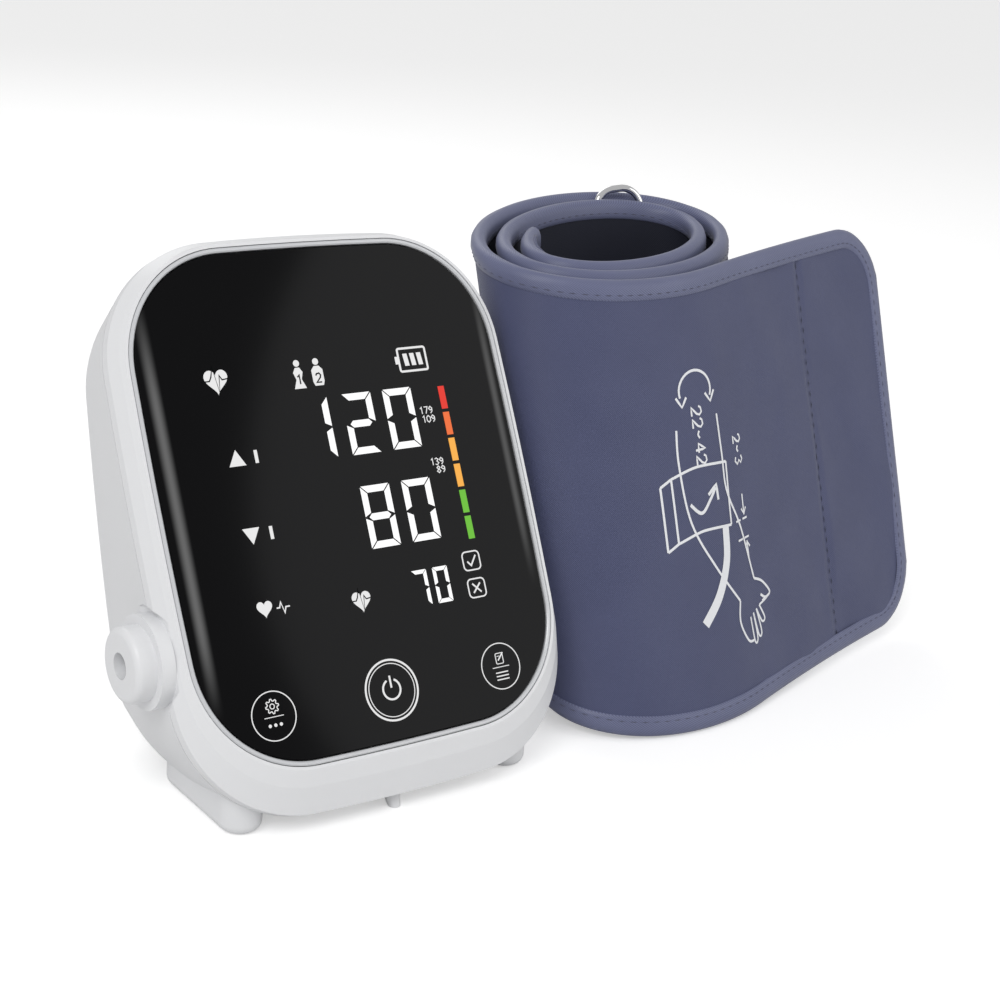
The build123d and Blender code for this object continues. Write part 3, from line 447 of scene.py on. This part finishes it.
STROKES = {
    "0": [[(0, 0.25), (0, 0.75), (0.3, 1), (0.6, 0.75), (0.6, 0.25), (0.3, 0), (0, 0.25)]],
    "1": [[(0.1, 0.78), (0.35, 1), (0.35, 0)]],
    "2": [[(0, 0.75), (0.12, 0.95), (0.42, 1), (0.6, 0.78), (0.5, 0.5), (0, 0), (0.62, 0)]],
    "3": [[(0, 0.88), (0.3, 1), (0.58, 0.78), (0.3, 0.55), (0.6, 0.28), (0.3, 0), (0, 0.12)]],
    "4": [[(0.45, 0), (0.45, 1), (0, 0.3), (0.65, 0.3)]],
    "7": [[(0, 1), (0.6, 1), (0.22, 0)]],
    "8": [[(0.3, 0.53), (0.04, 0.76), (0.3, 1), (0.56, 0.76), (0.3, 0.53), (0, 0.25), (0.3, 0),
           (0.6, 0.25), (0.3, 0.53)]],
    "9": [[(0.58, 0.62), (0.3, 0.45), (0.02, 0.7), (0.3, 1), (0.58, 0.75), (0.55, 0.3), (0.25, 0)]],
}


def small_number(text, right, base, height):
    """Strokes of a plain number that ends at right and stands on base."""
    paths = []
    x = right - height * (0.78 * len(text) - 0.18)
    for digit in text:
        for stroke in STROKES[digit]:
            paths.append([(x + px * height, base + py * height) for px, py in stroke])
        x += 0.78 * height
    return paths


digits = Ink()
for digit, dx in (("1", -6.0), ("2", 6.9), ("0", 19.1)):
    lit_digit(digits, digit, dx, 16.7, 8.6, 15.6, 1.75)
for digit, dx in (("8", 6.9), ("0", 19.2)):
    lit_digit(digits, digit, dx, -7.1, 8.6, 15.9, 1.75)
for digit, dx in (("7", 14.6), ("0", 21.0)):
    lit_digit(digits, digit, dx, -26.8, 4.5, 9.2, 1.0)
digits.done("display_digits", WHITE_LED)

# %% [markdown]
# ## Level bar
# Six bars run from red at the top to green at the bottom, with small numbers beside them.

# %%
BAR_X = 32.75
BAR_HALF = 0.95
BAR_TOP = 23.8
BAR_BOTTOM = -16.6
BAR_GAP = 0.9
pitch = (BAR_TOP - BAR_BOTTOM + BAR_GAP) / 6
for i, level in enumerate(("red", "orange", "amber", "amber", "green", "green")):
    top = BAR_TOP - i * pitch
    bar = Ink()
    bar.polygon([(BAR_X - BAR_HALF, top - pitch + BAR_GAP), (BAR_X + BAR_HALF, top - pitch + BAR_GAP),
                 (BAR_X + BAR_HALF, top), (BAR_X - BAR_HALF, top)])
    bar.done(f"level_bar_{i + 1}", LEVELS[level])

marks = Ink()
MARKS = (("179", 28.7, 17.1), ("109", 29.0, 14.8), ("139", 28.8, 3.6), ("89", 28.9, 1.5))
MARK_HEIGHT = 1.75
MARK_LINE = 0.24
for text, right, base in MARKS:
    for path in small_number(text, right, base, MARK_HEIGHT):
        marks.line(path, MARK_LINE)

# %% [markdown]
# ## Signs on the display
# Hearts with a pulse line, two user figures, a battery, and plain arrows beside the readings.


# %%
def heart(ink, x, y, size):
    outline = []
    for i in range(36):
        a = 2 * pi * i / 36
        px = 16 * sin(a) ** 3
        py = 13 * cos(a) - 5 * cos(2 * a) - 2 * cos(3 * a) - cos(4 * a)
        outline.append((x + px * size / 32, y + (py + 2) * size / 30))
    ink.polygon(outline)


def pulse_line(x, y, size):
    steps = [(-0.62, 0), (-0.3, 0.0), (-0.2, 0.16), (-0.08, 0.55), (0.06, -0.5), (0.16, 0.2),
             (0.26, 0.02), (0.62, 0.06)]
    return [(x + a * size, y + b * size) for a, b in steps]


dark = Ink()
heart(marks, -31.0, 30.9, 6.4)
dark.line(pulse_line(-31.0, 31.2, 6.2), 0.32)
heart(marks, -3.4, -27.4, 5.4)
dark.line(pulse_line(-3.4, -27.0, 5.2), 0.3)
for k, x in enumerate((-8.3, -2.8)):
    marks.disc(x, 33.5, 0.85)
    if k == 0:
        body = [(x - 1.7, 27.1), (x + 1.7, 27.1), (x + 0.75, 29.4), (x + 1.35, 31.2), (x + 0.6, 32.4),
                (x - 0.6, 32.4), (x - 1.35, 31.2), (x - 0.75, 29.4)]
    else:
        body = [(x - 1.2, 27.4), (x + 1.2, 27.4), (x + 1.6, 28.4), (x + 1.6, 31.4), (x + 0.7, 32.4),
                (x - 0.7, 32.4), (x - 1.6, 31.4), (x - 1.6, 28.4)]
    marks.polygon(body)
    for path in small_number(str(k + 1), x + 0.75, 28.2, 2.3):
        dark.line(path, 0.38)
marks.box(25.9, 31.6, 8.4, 6.0, 0.5, 0.55)
marks.polygon([(20.6, 30.6), (21.5, 30.6), (21.5, 32.6), (20.6, 32.6)])
for k in range(3):
    x = 23.6 + 2.1 * k
    marks.polygon([(x - 0.2, 30.0), (x + 1.1, 30.0), (x + 0.8, 33.2), (x - 0.5, 33.2)])
for y, turn in ((11.8, 1), (-7.0, -1)):
    marks.polygon([(-32.0, y - 1.8 * turn), (-27.4, y - 1.8 * turn), (-29.7, y + 2.2 * turn)][::turn])
    marks.polygon([(-24.8, y - 1.6), (-23.9, y - 1.6), (-23.9, y + 1.6), (-24.8, y + 1.6)])
heart(marks, -30.2, -25.0, 4.2)
marks.line([(-27.0, -25.2), (-26.2, -25.2), (-25.7, -23.9), (-25.0, -26.6), (-24.5, -25.2),
            (-23.4, -25.2)], 0.35)
for y in (-22.2, -29.3):
    marks.box(31.1, y, 5.2, 4.8, 1.1, 0.36)
marks.line([(29.8, -22.3), (30.8, -23.4), (32.6, -20.9)], 0.42)
marks.line([(29.9, -28.1), (32.3, -30.5)], 0.42)
marks.line([(29.9, -30.5), (32.3, -28.1)], 0.42)
marks.done("display_signs", PRINT)
dark.points = [(x, y, z + INK_THICK) for x, y, z in dark.points]
dark.done("display_sign_cuts", MATERIALS["panel"])

# %% [markdown]
# ## Touch keys
# Three printed rings: settings on the left, start and stop in the middle, memory on the right.

# %%
KEY_X = (-33.4, 0.0, 33.4)
KEY_Y = -50.2
keys = Ink()
for x in (KEY_X[0], KEY_X[2]):
    keys.ring(x, KEY_Y, 5.9, 0.26, steps=56)
    keys.line([(x - 2.6, KEY_Y - 0.2), (x + 2.6, KEY_Y - 0.2)], 0.2)
keys.ring(0.0, KEY_Y, 7.5, 0.5, steps=64)
keys.ring(0.0, KEY_Y, 6.6, 0.22, steps=64)
keys.ring(0.0, KEY_Y + 0.2, 2.5, 0.5, start=115, turn=310, steps=32)
keys.line([(0.0, KEY_Y + 0.6), (0.0, KEY_Y + 3.6)], 0.5)
gear = []
for i in range(32):
    a = 2 * pi * i / 32
    r = 1.75 if (i // 2) % 2 == 0 else 1.3
    gear.append((KEY_X[0] + r * cos(a), KEY_Y + 2.3 + r * sin(a)))
keys.line(gear, 0.24, closed=True)
keys.ring(KEY_X[0], KEY_Y + 2.3, 0.6, 0.22, steps=16)
for k in range(3):
    keys.disc(KEY_X[0] - 1.5 + 1.5 * k, KEY_Y - 2.2, 0.42, steps=14)
x = KEY_X[2]
keys.box(x, KEY_Y + 2.0, 2.2, 2.7, 0.35, 0.22)
keys.line([(x - 0.5, KEY_Y + 1.5), (x + 1.3, KEY_Y + 3.4)], 0.34)
keys.line([(x - 0.7, KEY_Y + 2.6), (x + 0.1, KEY_Y + 2.6)], 0.18)
for k in range(3):
    keys.line([(x - 1.9, KEY_Y - 1.6 - 0.9 * k), (x + 1.9, KEY_Y - 1.6 - 0.9 * k)], 0.3)
keys.done("key_prints", PRINT)

# %% [markdown]
# ## The cuff's strip
# The cuff is one long strip. From its inner end it winds round an oval and then leaves as a flap.
# `strip` gives a point on the middle of the cloth, the way along it, and the way out of the roll.

# %%
OVAL_A = 54.0
OVAL_B = 33.0
PITCH = 6.6
PITCH_LONG = 1.25
TURNS = 2.4
OVAL_TURN = radians(21.0)
LEAVE = radians(-92.0)
CENTRE = (116.0, 38.6)
FLAP_LEN = 94.0
FLAP_CURL = radians(-6.0)
LEAN = Vector((-8.0, 51.0, 115.0))
HEIGHT = LEAN.length
CLOTH_HALF = 1.45
FLAP_CORNER = 20.0
HEM = 6.0


def roll(turn):
    th = LEAVE - 2 * pi * turn
    a = OVAL_A - PITCH_LONG * PITCH * turn
    b = OVAL_B - PITCH * turn
    da = PITCH_LONG * PITCH / (2 * pi)
    db = PITCH / (2 * pi)
    x, y = a * cos(th), b * sin(th)
    tx, ty = da * cos(th) - a * sin(th), db * sin(th) + b * cos(th)
    size = hypot(tx, ty)
    c, s = cos(OVAL_TURN), sin(OVAL_TURN)
    point = Vector((CENTRE[0] + c * x - s * y, CENTRE[1] + s * x + c * y, 0))
    return point, Vector(((c * tx - s * ty) / size, (s * tx + c * ty) / size, 0))


def flap(distance):
    point, along = roll(0)
    heading = atan2(along.y, along.x)
    steps = 12
    x, y = point.x, point.y
    for i in range(steps):
        h = heading + FLAP_CURL * (i + 0.5) / steps * distance / FLAP_LEN
        x += cos(h) * distance / steps
        y += sin(h) * distance / steps
    h = heading + FLAP_CURL * distance / FLAP_LEN
    return Vector((x, y, 0)), Vector((cos(h), sin(h), 0))


ROLL_STEPS = 1600
ROLL_TABLE = [roll(TURNS * (1 - i / ROLL_STEPS)) for i in range(ROLL_STEPS + 1)]
ROLL_AT = [0.0]
for i in range(ROLL_STEPS):
    ROLL_AT.append(ROLL_AT[-1] + (ROLL_TABLE[i + 1][0] - ROLL_TABLE[i][0]).length)
ROLL_LEN = ROLL_AT[-1]
STRIP_LEN = ROLL_LEN + FLAP_LEN


def strip(s):
    """Middle point, along and outward directions at s millimetres from the inner end."""
    if s >= ROLL_LEN:
        point, along = flap(s - ROLL_LEN)
    else:
        i = min(ROLL_STEPS - 1, max(0, int(np.searchsorted(ROLL_AT, s)) - 1))
        f = (s - ROLL_AT[i]) / (ROLL_AT[i + 1] - ROLL_AT[i])
        point = ROLL_TABLE[i][0].lerp(ROLL_TABLE[i + 1][0], f)
        along = ROLL_TABLE[i][1].lerp(ROLL_TABLE[i + 1][1], f).normalized()
    return point, along, along.cross(LEAN).normalized()


def on_cloth(s, t, off=0.0):
    """Point at s along and t up the strip, off its middle surface."""
    point, along, out = strip(s)
    return point + LEAN * (t / HEIGHT) + out * off


def edge_drop(s, radius=FLAP_CORNER, end=STRIP_LEN):
    """How far the rounded corner of the flap has cut in from the side edges at s."""
    into = s - (end - radius)
    if into <= 0:
        return 0.0
    return radius - (max(0.0, radius ** 2 - into ** 2)) ** 0.5


def wrinkle(s, t):
    """Height of the soft creases on the outer side of the cloth."""
    value = 0.35 * noise.noise(Vector((s * 0.03, t * 0.02, 3.1)))
    value += 0.16 * noise.noise(Vector((s * 0.11, t * 0.07, 7.7)))
    flap_s = s - ROLL_LEN
    seam = flap_s - SEAM_AT
    if flap_s > -30:
        fan = noise.noise(Vector((0.035 * (seam + 0.55 * t), 0.010 * (seam - 0.8 * t), 1.3)))
        strength = max(0.0, 1.0 - abs(seam + 18) / 45)
        value += 1.5 * fan * strength
        value -= 0.9 * max(0.0, 1.0 - abs(seam) / 2.2)
    if seam > 0:
        value += 0.9 * noise.noise(Vector((0.05 * seam + 0.035 * t, 0.022 * t, 9.2)))
    return value


SEAM_AT = 48.0
COLS = 520
ROWS = 64
points, uv, faces = [], [], []
stops = [STRIP_LEN * 0.001 + (STRIP_LEN - 1.0) * i / (COLS - 1) for i in range(COLS)]
for side in (1, -1):
    for s in stops:
        drop = edge_drop(s) + 0.8
        for j in range(ROWS):
            t = drop + (HEIGHT - 2 * drop) * j / (ROWS - 1)
            edge = min(1.0, min(t - drop, HEIGHT - drop - t) / HEM, (STRIP_LEN - s) / HEM)
            lift = CLOTH_HALF
            if side > 0:
                lift += max(-0.6, wrinkle(s, t)) * max(0.0, edge)
            points.append(on_cloth(s, t, side * lift))
            uv.append((s, t))
layer = COLS * ROWS
for k in range(2):
    for i in range(COLS - 1):
        for j in range(ROWS - 1):
            a = k * layer + i * ROWS + j
            quad = [a, a + ROWS, a + ROWS + 1, a + 1]
            faces.append(quad if k == 0 else quad[::-1])
for i in range(COLS - 1):
    for j in (0, ROWS - 1):
        a = i * ROWS + j
        faces.append([a, a + ROWS, a + ROWS + layer, a + layer])
for i in (0, COLS - 1):
    for j in range(ROWS - 1):
        a = i * ROWS + j
        faces.append([a, a + 1, a + 1 + layer, a + layer])
strip_obj = make("cuff_cloth", points, faces, CUFF, MATERIALS["navy_cloth"], "cuff",
                 True, uv)
strip_obj.data.materials.append(MATERIALS["navy_lining"])
for face in strip_obj.data.polygons:
    if face.vertices[0] >= layer and face.vertices[2] >= layer:
        face.material_index = 1
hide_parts("cuff_outer_fabric", "cuff_lining")

# %% [markdown]
# ## Edge binding
# A folded tape runs all the way round the strip, over the rounded corners of the flap. Its
# section is a soft hairpin: `inward` millimetres from the edge and `off` the middle surface.

# %%
TAPE = [(6.0, 1.35), (5.7, 1.85), (4.6, 1.95), (2.8, 2.25), (1.2, 1.9), (0.25, 1.05), (0.0, 0.0),
        (0.25, -1.05), (1.2, -1.9), (2.8, -2.2), (4.6, -1.95), (5.7, -1.8), (6.0, -1.35)]


def tape_path(inset):
    """Points (s, t, ds, dt) round the strip, with the inward direction, on the inset line."""
    path = []
    step = 1.6
    radius = FLAP_CORNER
    low_end = STRIP_LEN - radius
    count = int(low_end / step)
    for i in range(count):
        path.append((low_end * i / count, 0.0, 0.0, 1.0))
    for i in range(21):
        a = radians(-90 + 90 * i / 20)
        path.append((low_end + radius * cos(a), radius + radius * sin(a), -cos(a), -sin(a)))
    span = HEIGHT - 2 * radius
    count = int(span / step)
    for i in range(1, count):
        path.append((STRIP_LEN, radius + span * i / count, -1.0, 0.0))
    for i in range(21):
        a = radians(90 * i / 20)
        path.append((low_end + radius * cos(a), HEIGHT - radius + radius * sin(a), -cos(a), -sin(a)))
    count = int(low_end / step)
    for i in range(1, count + 1):
        path.append((low_end * (1 - i / count), HEIGHT, 0.0, -1.0))
    return [(s + ds * inset, t + dt * inset, ds, dt) for s, t, ds, dt in path]


points, uv, faces = [], [], []
route = tape_path(0.0)
run = 0.0
for k, (s, t, ds, dt) in enumerate(route):
    run += 1.6
    pull = 0.12 * sin(run * 1.15) + 0.1 * noise.noise(Vector((run * 0.08, 0, 0)))
    for inward, off in TAPE:
        puff = off * (1 + 0.05 * pull) if inward < 5 else off
        points.append(on_cloth(max(0.0, s + ds * inward), t + dt * inward, puff))
        uv.append((run, inward * 1.5 + off))
width = len(TAPE)
for k in range(len(route) - 1):
    for j in range(width - 1):
        a = k * width + j
        faces.append([a, a + 1, a + width + 1, a + width])
binding = make("edge_tape", points, faces, CUFF, MATERIALS["binding"], "cuff", True, uv)
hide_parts("cuff_edge_binding")

# %% [markdown]
# ## Stitches
# Short raised threads: one row just inside the binding, and one seam across the flap.

# %%
THREAD_HALF = 0.16
THREAD_HIGH = 0.22


def stitches(name, routes, material):
    """Small lozenge threads from (s, t, along_s, along_t, off) places."""
    points, faces = [], []
    for s, t, ds, dt, off, length in routes:
        half = length / 2
        base = len(points)
        lozenge = ((-half, 0, 0.0), (0, THREAD_HALF, 0.05), (half, 0, 0.0), (0, -THREAD_HALF, 0.05),
                   (0, 0, THREAD_HIGH))
        for a, b, h in lozenge:
            lift = off + (h if off > 0 else -h)
            points.append(on_cloth(s + ds * a - dt * b, t + dt * a + ds * b, lift))
        for i in range(4):
            faces.append([base + i, base + (i + 1) % 4, base + 4])
        faces.append([base + 3, base + 2, base + 1, base])
    return make(name, points, faces, CUFF, material, "cuff")


tape_rows = []
row = tape_path(4.4)
for k in range(0, len(row) - 2, 2):
    s, t, ds, dt = row[k]
    for off in (2.0, -2.0):
        tape_rows.append((max(0.2, s), t, dt, -ds, off, 2.2))
stitches("tape_stitches", tape_rows, LIGHT_THREAD)

seam_rows = []
t = 6.5
while t < HEIGHT - 6.5:
    seam_rows.append((ROLL_LEN + SEAM_AT + 0.25 * sin(t * 0.9), t, 0.06, 1.0, CLOTH_HALF - 0.35, 2.3))
    t += 3.2
stitches("flap_seam_stitches", seam_rows, THREAD)

# %% [markdown]
# ## Printed figure
# A plain line drawing on the cuff shows where it goes on an arm. It is drawn with strokes in the
# strip's own millimetres, so it bends with the cloth.


# %%
def printed(name, strokes, lift=0.10):
    """Ribbons that follow the outer side of the cloth."""
    points, faces = [], []
    for path, width in strokes:
        dense = []
        for a, b in zip(path[:-1], path[1:]):
            count = max(1, int(hypot(b[0] - a[0], b[1] - a[1]) / 1.2))
            for i in range(count):
                f = i / count
                dense.append((a[0] + (b[0] - a[0]) * f, a[1] + (b[1] - a[1]) * f))
        dense.append(path[-1])
        base = len(points)
        for i, (s, t) in enumerate(dense):
            before = dense[max(0, i - 1)]
            after = dense[min(len(dense) - 1, i + 1)]
            dx, dy = after[0] - before[0], after[1] - before[1]
            size = hypot(dx, dy) or 1.0
            nx, ny = -dy / size * width / 2, dx / size * width / 2
            for sign in (1, -1):
                ps, pt = s + sign * nx, t + sign * ny
                off = CLOTH_HALF + max(-0.6, wrinkle(ps, pt)) + lift
                points.append(on_cloth(ps, pt, off))
        for i in range(len(dense) - 1):
            a = base + 2 * i
            faces.append([a, a + 1, a + 3, a + 2])
    return make(name, points, faces, CUFF, WHITE_INK, "cuff")


def curve(points, steps=8):
    """Smooth line through the points."""
    out = []
    p = [points[0]] + list(points) + [points[-1]]
    for i in range(1, len(p) - 2):
        for k in range(steps):
            f = k / steps
            pos = []
            for c in (0, 1):
                a, b, d, e = p[i - 1][c], p[i][c], p[i + 1][c], p[i + 2][c]
                pos.append(0.5 * (2 * b + (d - a) * f + (2 * a - 5 * b + 4 * d - e) * f * f
                                  + (3 * b - a - 3 * d + e) * f ** 3))
            out.append(tuple(pos))
    out.append(points[-1])
    return out


FIGURE_S = ROLL_LEN - 9.0
FIGURE_T = 62.0
LINE_W = 0.75


def fig(x, y):
    return (FIGURE_S + x, FIGURE_T + y)


ink = []
ink.append((curve([fig(-14, 22), fig(-14.5, 12), fig(-12.5, -4), fig(-5, -18), fig(4, -30)]), LINE_W))
ink.append((curve([fig(3, 24), fig(3.5, 12), fig(4, 2), fig(9, -10), fig(13, -26)]), LINE_W))
ink.append((curve([fig(4, -30), fig(3, -36), fig(6, -42), fig(9, -43)]), LINE_W))
ink.append((curve([fig(13, -26), fig(17, -28), fig(20.5, -32), fig(18, -33), fig(15.5, -31.5)]), LINE_W))
for k in range(4):
    tip = fig(9.5 + 2.6 * k, -43.5 + 1.1 * k * k)
    base = fig(8.5 + 1.9 * k, -36.0 + 0.6 * k)
    back = (tip[0] + 1.7, tip[1] + 0.6)
    root = (base[0] + 1.8, base[1] + 0.7)
    ink.append((curve([base, tip, back, root], 6), LINE_W * 0.9))
ink.append((curve([fig(-18, 9), fig(-8, 11), fig(5, 10)]), LINE_W))
ink.append((curve([fig(-18, -9), fig(-8, -7), fig(4.5, -8)]), LINE_W))
ink.append(([fig(-18, 9), fig(-18, -9)], LINE_W))
ink.append(([fig(5, 10), fig(4.5, -8)], LINE_W))
ink.append(([fig(-22, 7), fig(-22, -11)], LINE_W))
ink.append(([fig(-22, 7), fig(-18, 9)], LINE_W))
ink.append(([fig(-22, -11), fig(-18, -9)], LINE_W))
ink.append((curve([fig(-12, 1), fig(-8, -2), fig(-4, 1), fig(-1, 4)]), LINE_W * 1.3))
ink.append(([fig(-4.5, 2.5), fig(-0.6, 4.8), fig(-0.4, 0.3)], LINE_W * 1.3))
ink.append((curve([fig(1.5, -8), fig(0, -17), fig(-5, -26), fig(-12, -33)]), 3.0))
arc = [fig(-5 + 6.5 * cos(radians(a)), 32 + 5.5 * sin(radians(a))) for a in range(-25, 206, 11)]
ink.append((arc, LINE_W))
for x, lean in ((0.9, 1), (-10.9, -1)):
    ink.append(([fig(x + 2.0 * lean, 30.8), fig(x, 28.0), fig(x - 2.0 * lean, 30.6)], LINE_W))
for y in (-8, -13.5):
    for x in (7, 10.5):
        ink.append(([fig(x, y), fig(x + 2.4, y)], LINE_W * 0.8))
for y, way in ((-7, 1), (-14.5, -1)):
    ink.append(([fig(11.6, y), fig(11.6, y + 6 * way)], LINE_W * 0.8))
    head = [fig(10.4, y + 2 * way), fig(11.6, y + 0.2 * way), fig(12.8, y + 2 * way)]
    ink.append((head, LINE_W * 0.8))


def down_number(text, x, y, height):
    """Numbers that read from top to bottom of the cuff."""
    for digit in text:
        if digit in STROKES:
            for stroke in STROKES[digit]:
                ink.append(([fig(x + py * height, y - px * height) for px, py in stroke], LINE_W * 0.85))
        else:
            ink.append((curve([fig(x + 0.55 * height, y), fig(x + 0.4 * height, y - 0.25 * height),
                               fig(x + 0.55 * height, y - 0.5 * height)], 4), LINE_W * 0.85))
        y -= 0.85 * height


down_number("22-42", -7.5, 27.5, 4.0)
down_number("2-3", 9.8, 16.0, 3.6)
printed("arm_figure", ink)

# %% [markdown]
# ## Inner end of the roll
# A short sewn tab hangs at the inner end, with one row of pale stitches.

# %%
TAB_S0, TAB_S1 = 6.0, 46.0
TAB_TOP = 1.0
TAB_DROP = 17.0
TAB_NEAR, TAB_FAR = -1.6, -2.5
TAB_BULGE = 0.25
TAB_COLS = 25
TAB_ROWS = 9
TAB_LAYER = TAB_COLS * TAB_ROWS
tab_points, tab_faces, tab_uv = [], [], []
for side in (TAB_NEAR, TAB_FAR):
    for i in range(TAB_COLS):
        s = TAB_S0 + (TAB_S1 - TAB_S0) * i / (TAB_COLS - 1)
        for j in range(TAB_ROWS):
            t = HEIGHT - TAB_TOP - TAB_DROP * j / (TAB_ROWS - 1)
            bulge = TAB_BULGE * sin(pi * j / (TAB_ROWS - 1))
            tab_points.append(on_cloth(s, t, side - (bulge if side == TAB_FAR else 0)))
            tab_uv.append((s, t))
for k in range(2):
    for i in range(TAB_COLS - 1):
        for j in range(TAB_ROWS - 1):
            a = k * TAB_LAYER + i * TAB_ROWS + j
            tab_faces.append([a, a + TAB_ROWS, a + TAB_ROWS + 1, a + 1])
for i in range(TAB_COLS - 1):
    for j in (0, TAB_ROWS - 1):
        a = i * TAB_ROWS + j
        tab_faces.append([a, a + TAB_ROWS, a + TAB_ROWS + TAB_LAYER, a + TAB_LAYER])
for i in (0, TAB_COLS - 1):
    for j in range(TAB_ROWS - 1):
        a = i * TAB_ROWS + j
        tab_faces.append([a, a + 1, a + 1 + TAB_LAYER, a + TAB_LAYER])
make("inner_tab", tab_points, tab_faces, CUFF, MATERIALS["navy_cloth"], "cuff", True,
     tab_uv)
tab_rows = [(TAB_S0 + 1.5 + 3.0 * i, HEIGHT - 16.0, 1.0, 0.0, -2.55, 2.1) for i in range(13)]
stitches("tab_stitches", tab_rows, LIGHT_THREAD)

# %% [markdown]
# ## Stage, light and camera
# A pale floor, one large soft light from the upper left, a weaker one from the right, and a
# bright even sky. The camera stands where the photographer stood.

# %%
floor_mesh = bpy.data.meshes.new("floor")
floor_mesh.from_pydata([(-6, -6, 0), (6, -6, 0), (6, 6, 0), (-6, 6, 0)], [], [(0, 1, 2, 3)])
floor = bpy.data.objects.new("floor", floor_mesh)
floor_mat, floor_bsdf = principled("pale_floor", (0.80, 0.80, 0.80), 0.9, spec=0.1)
floor_rays = floor_mat.node_tree.nodes.new("ShaderNodeLightPath")
floor_lift = floor_mat.node_tree.nodes.new("ShaderNodeMath")
floor_lift.operation = "MULTIPLY"
floor_lift.inputs[1].default_value = 0.42
floor_mat.node_tree.links.new(floor_rays.outputs["Is Camera Ray"], floor_lift.inputs[0])
floor_mat.node_tree.links.new(floor_lift.outputs[0], floor_bsdf.inputs["Emission Strength"])
floor_bsdf.inputs["Emission Color"].default_value = (1.0, 1.0, 1.0, 1.0)
floor_mesh.materials.append(floor_mat)
bpy.context.scene.collection.objects.link(floor)


def area_light(name, place, aim, size, power):
    data = bpy.data.lights.new(name, "AREA")
    data.shape = "DISK"
    data.size = size
    data.energy = power
    light = bpy.data.objects.new(name, data)
    light.location = place
    light.rotation_euler = (Vector(aim) - Vector(place)).to_track_quat("-Z", "Y").to_euler()
    bpy.context.scene.collection.objects.link(light)


AIM = (0.05, 0.04, 0.06)
area_light("key", (-0.75, -0.55, 0.95), AIM, 0.7, 7.0)
area_light("fill", (0.95, -0.75, 0.55), AIM, 0.9, 2.6)
area_light("back", (0.25, 0.9, 0.8), AIM, 0.8, 2.2)

world = bpy.data.worlds.new("soft_sky")
world.use_nodes = True
world.node_tree.nodes["Background"].inputs["Color"].default_value = (1.0, 1.0, 1.0, 1.0)
world.node_tree.nodes["Background"].inputs["Strength"].default_value = 0.50
scene = bpy.context.scene
scene.world = world

CAMERA_RIGHT = (0.8044, -0.2047, 0.5578)
CAMERA_UP = (0.1279, 0.9764, 0.1739)
CAMERA_BACK = (-0.5802, -0.0685, 0.8116)
CAMERA_AT = (-251.4, -42.8, 413.1)
turn = FACE.to_3x3() * 1000
axes = [turn @ Vector(v) for v in (CAMERA_RIGHT, CAMERA_UP, CAMERA_BACK)]
pose = Matrix((axes[0], axes[1], axes[2])).transposed().to_4x4()
pose.translation = FACE @ Vector(CAMERA_AT)
cam_data = bpy.data.cameras.new("camera")
cam_data.lens = 70.1
cam_data.sensor_width = 36.0
camera = bpy.data.objects.new("camera", cam_data)
camera.matrix_world = pose
scene.collection.objects.link(camera)
scene.camera = camera
scene.render.engine = "CYCLES"
scene.cycles.samples = 96
scene.render.resolution_x = 1000
scene.render.resolution_y = 1000
scene.view_settings.view_transform = "Standard"
scene.view_settings.look = "None"
